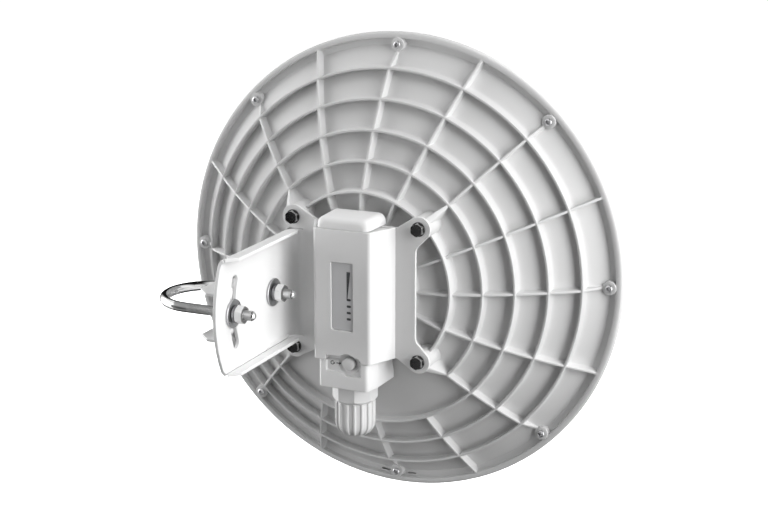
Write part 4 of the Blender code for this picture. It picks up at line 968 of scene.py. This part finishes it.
# Saddle bracket: a channel bent from coated steel sheet, held between the side plate and the mast by the
# U-bolt's legs. Its two jaws bite the mast with a toothed V notch.
WEB_BACK = 41.7
SADDLE_WALL = 2.4
SADDLE_HALF = 19.7
SADDLE_REACH = 51.4
OUTER_BEND = 4.4
saddle = bmesh.new()
flat_z = SADDLE_HALF - OUTER_BEND
holes = [arc((side * LEG_SPACING / 2, 0.0), LEG_BORE_R, 0, 350, 35) for side in (1, -1)]
web = [(-SADDLE_REACH, -flat_z), (SADDLE_REACH, -flat_z), (SADDLE_REACH, flat_z), (-SADDLE_REACH, flat_z)]
flat_face(saddle, *[[(WEB_BACK, y, z) for y, z in loop] for loop in (web, *holes)])
half_notch = [(21.0, 15.0), (24.0, 13.65), (24.0, 12.25), (27.0, 9.9), (27.0, 8.5), (30.0, 6.15),
              (30.0, 4.75), (33.0, 2.4), (33.0, 0.8)]
jaw = [(WEB_BACK - OUTER_BEND, SADDLE_REACH), (31.2, SADDLE_REACH), (21.0, 41.2)] + half_notch
jaw += [(x, -y) for x, y in reversed(jaw)]
for side in (1, -1):
    fold = edges_where(saddle, lambda co: abs(co.x - WEB_BACK) < 0.01 and abs(co.z - side * flat_z) < 0.01)
    bend(saddle, fold, (WEB_BACK - OUTER_BEND, 0.0, side * flat_z), (0.0, 1.0, 0.0), -side * math.pi / 2, 8)
    flat_face(saddle, [(x, y, side * SADDLE_HALF) for x, y in jaw])
weld_skin(saddle, (1.0, 0.0, 0.0))
made = piece("saddle_channel", saddle, MILLIMETRES, coated_steel, "clamp", ["saddle_bracket"])
thicken(made, SADDLE_WALL, 0.3)

# Fasteners on each leg, inside the side plate: a plated flat washer, a darker split spring washer and a
# pale hexagon nut whose end face is painted dark, as painted shade and reflection. The pair of nuts holds the
# dish at its tilt.
washer_steel = plated_steel("washer_steel", (0.5, 0.5, 0.51), 0.3)
spring_steel = plated_steel("spring_steel", (0.36, 0.36, 0.37), 0.24)
nut_steel = plated_steel("nut_steel", (0.86, 0.86, 0.86), 0.38)
nut_steel.node_tree.nodes["Principled BSDF"].inputs["Metallic"].default_value = 0.6
# The nut's end face is painted dark, standing in for shade and a dark reflection on it.
two_toned(nut_steel, "X", 0.0554, 0.0557, 0.86, 0.22)
ALONG_X = Matrix.Rotation(-math.pi / 2, 4, "Z")
WASHER_SEAT_X = 45.1
SPRING_SEAT, NUT_MIDDLE = 1.9, 7.45
NUT_HEX_R, NUT_HALF = 7.5, 3.25
SPRING_TURN, SPRING_STEPS, SPRING_RISE = 351.0, 78, 0.4
for label, side, opening in (("pivot", 1, 200.0), ("slot", -1, 120.0)):
    on_leg = MILLIMETRES @ Matrix.Translation((WASHER_SEAT_X, side * LEG_SPACING / 2, 0.0)) @ ALONG_X
    flat = lathe([(4.35, 0.1), (4.45, 0.0), (11.25, 0.0), (11.5, 0.2), (11.5, 1.3), (11.2, 1.6), (4.6, 1.6),
                  (4.35, 1.45)], 96, "Y", True)
    piece(f"washer_{label}", flat, on_leg, washer_steel, "clamp", [f"flat_washer_{label}"])
    spring = bmesh.new()
    wire = rounded([(4.4, 0.0, 0.2), (7.0, 0.0, 0.3), (7.0, 1.6, 0.3), (4.4, 1.6, 0.2)], 3)
    flat_face(spring, [(x, y, 0.0) for x, y in wire])
    bmesh.ops.dissolve_limit(spring, angle_limit=0.01, use_dissolve_boundaries=False, verts=spring.verts[:],
                             edges=spring.edges[:])
    bmesh.ops.spin(spring, geom=spring.verts[:] + spring.edges[:] + spring.faces[:], cent=(0.0, 0.0, 0.0),
                   axis=(0.0, 1.0, 0.0), dvec=(0.0, SPRING_RISE / SPRING_STEPS, 0.0),
                   angle=math.radians(SPRING_TURN), steps=SPRING_STEPS, use_merge=False, use_duplicate=False)
    bmesh.ops.recalc_face_normals(spring, faces=spring.faces[:])
    turned = Matrix.Translation((0.0, SPRING_SEAT, 0.0)) @ Matrix.Rotation(math.radians(opening), 4, "Y")
    piece(f"spring_{label}", spring, on_leg @ turned, spring_steel, "clamp",
          [f"spring_washer_{label}"])
    body = hexagon(NUT_HEX_R, -NUT_HALF, NUT_HALF, 0.7)
    back_cone = lathe([(0.0, -4.0), (8.0, -4.0), (8.0, 2.5), (6.5, NUT_HALF), (0.0, NUT_HALF)], 48)
    body = combined(body, back_cone, "INTERSECT")
    bore = lathe([(0.0, -5.0), (5.6, -5.0), (4.1, -2.6), (4.1, 2.6), (5.6, 5.0), (0.0, 5.0)], 48)
    body = combined(body, bore, "DIFFERENCE")
    nut_place = on_leg @ Matrix.Translation((0.0, NUT_MIDDLE, 0.0))
    made = piece(f"hex_nut_{label}", body, nut_place, nut_steel, "clamp", [f"nut_{label}"])
    thicken(made, 0.0, 0.12)
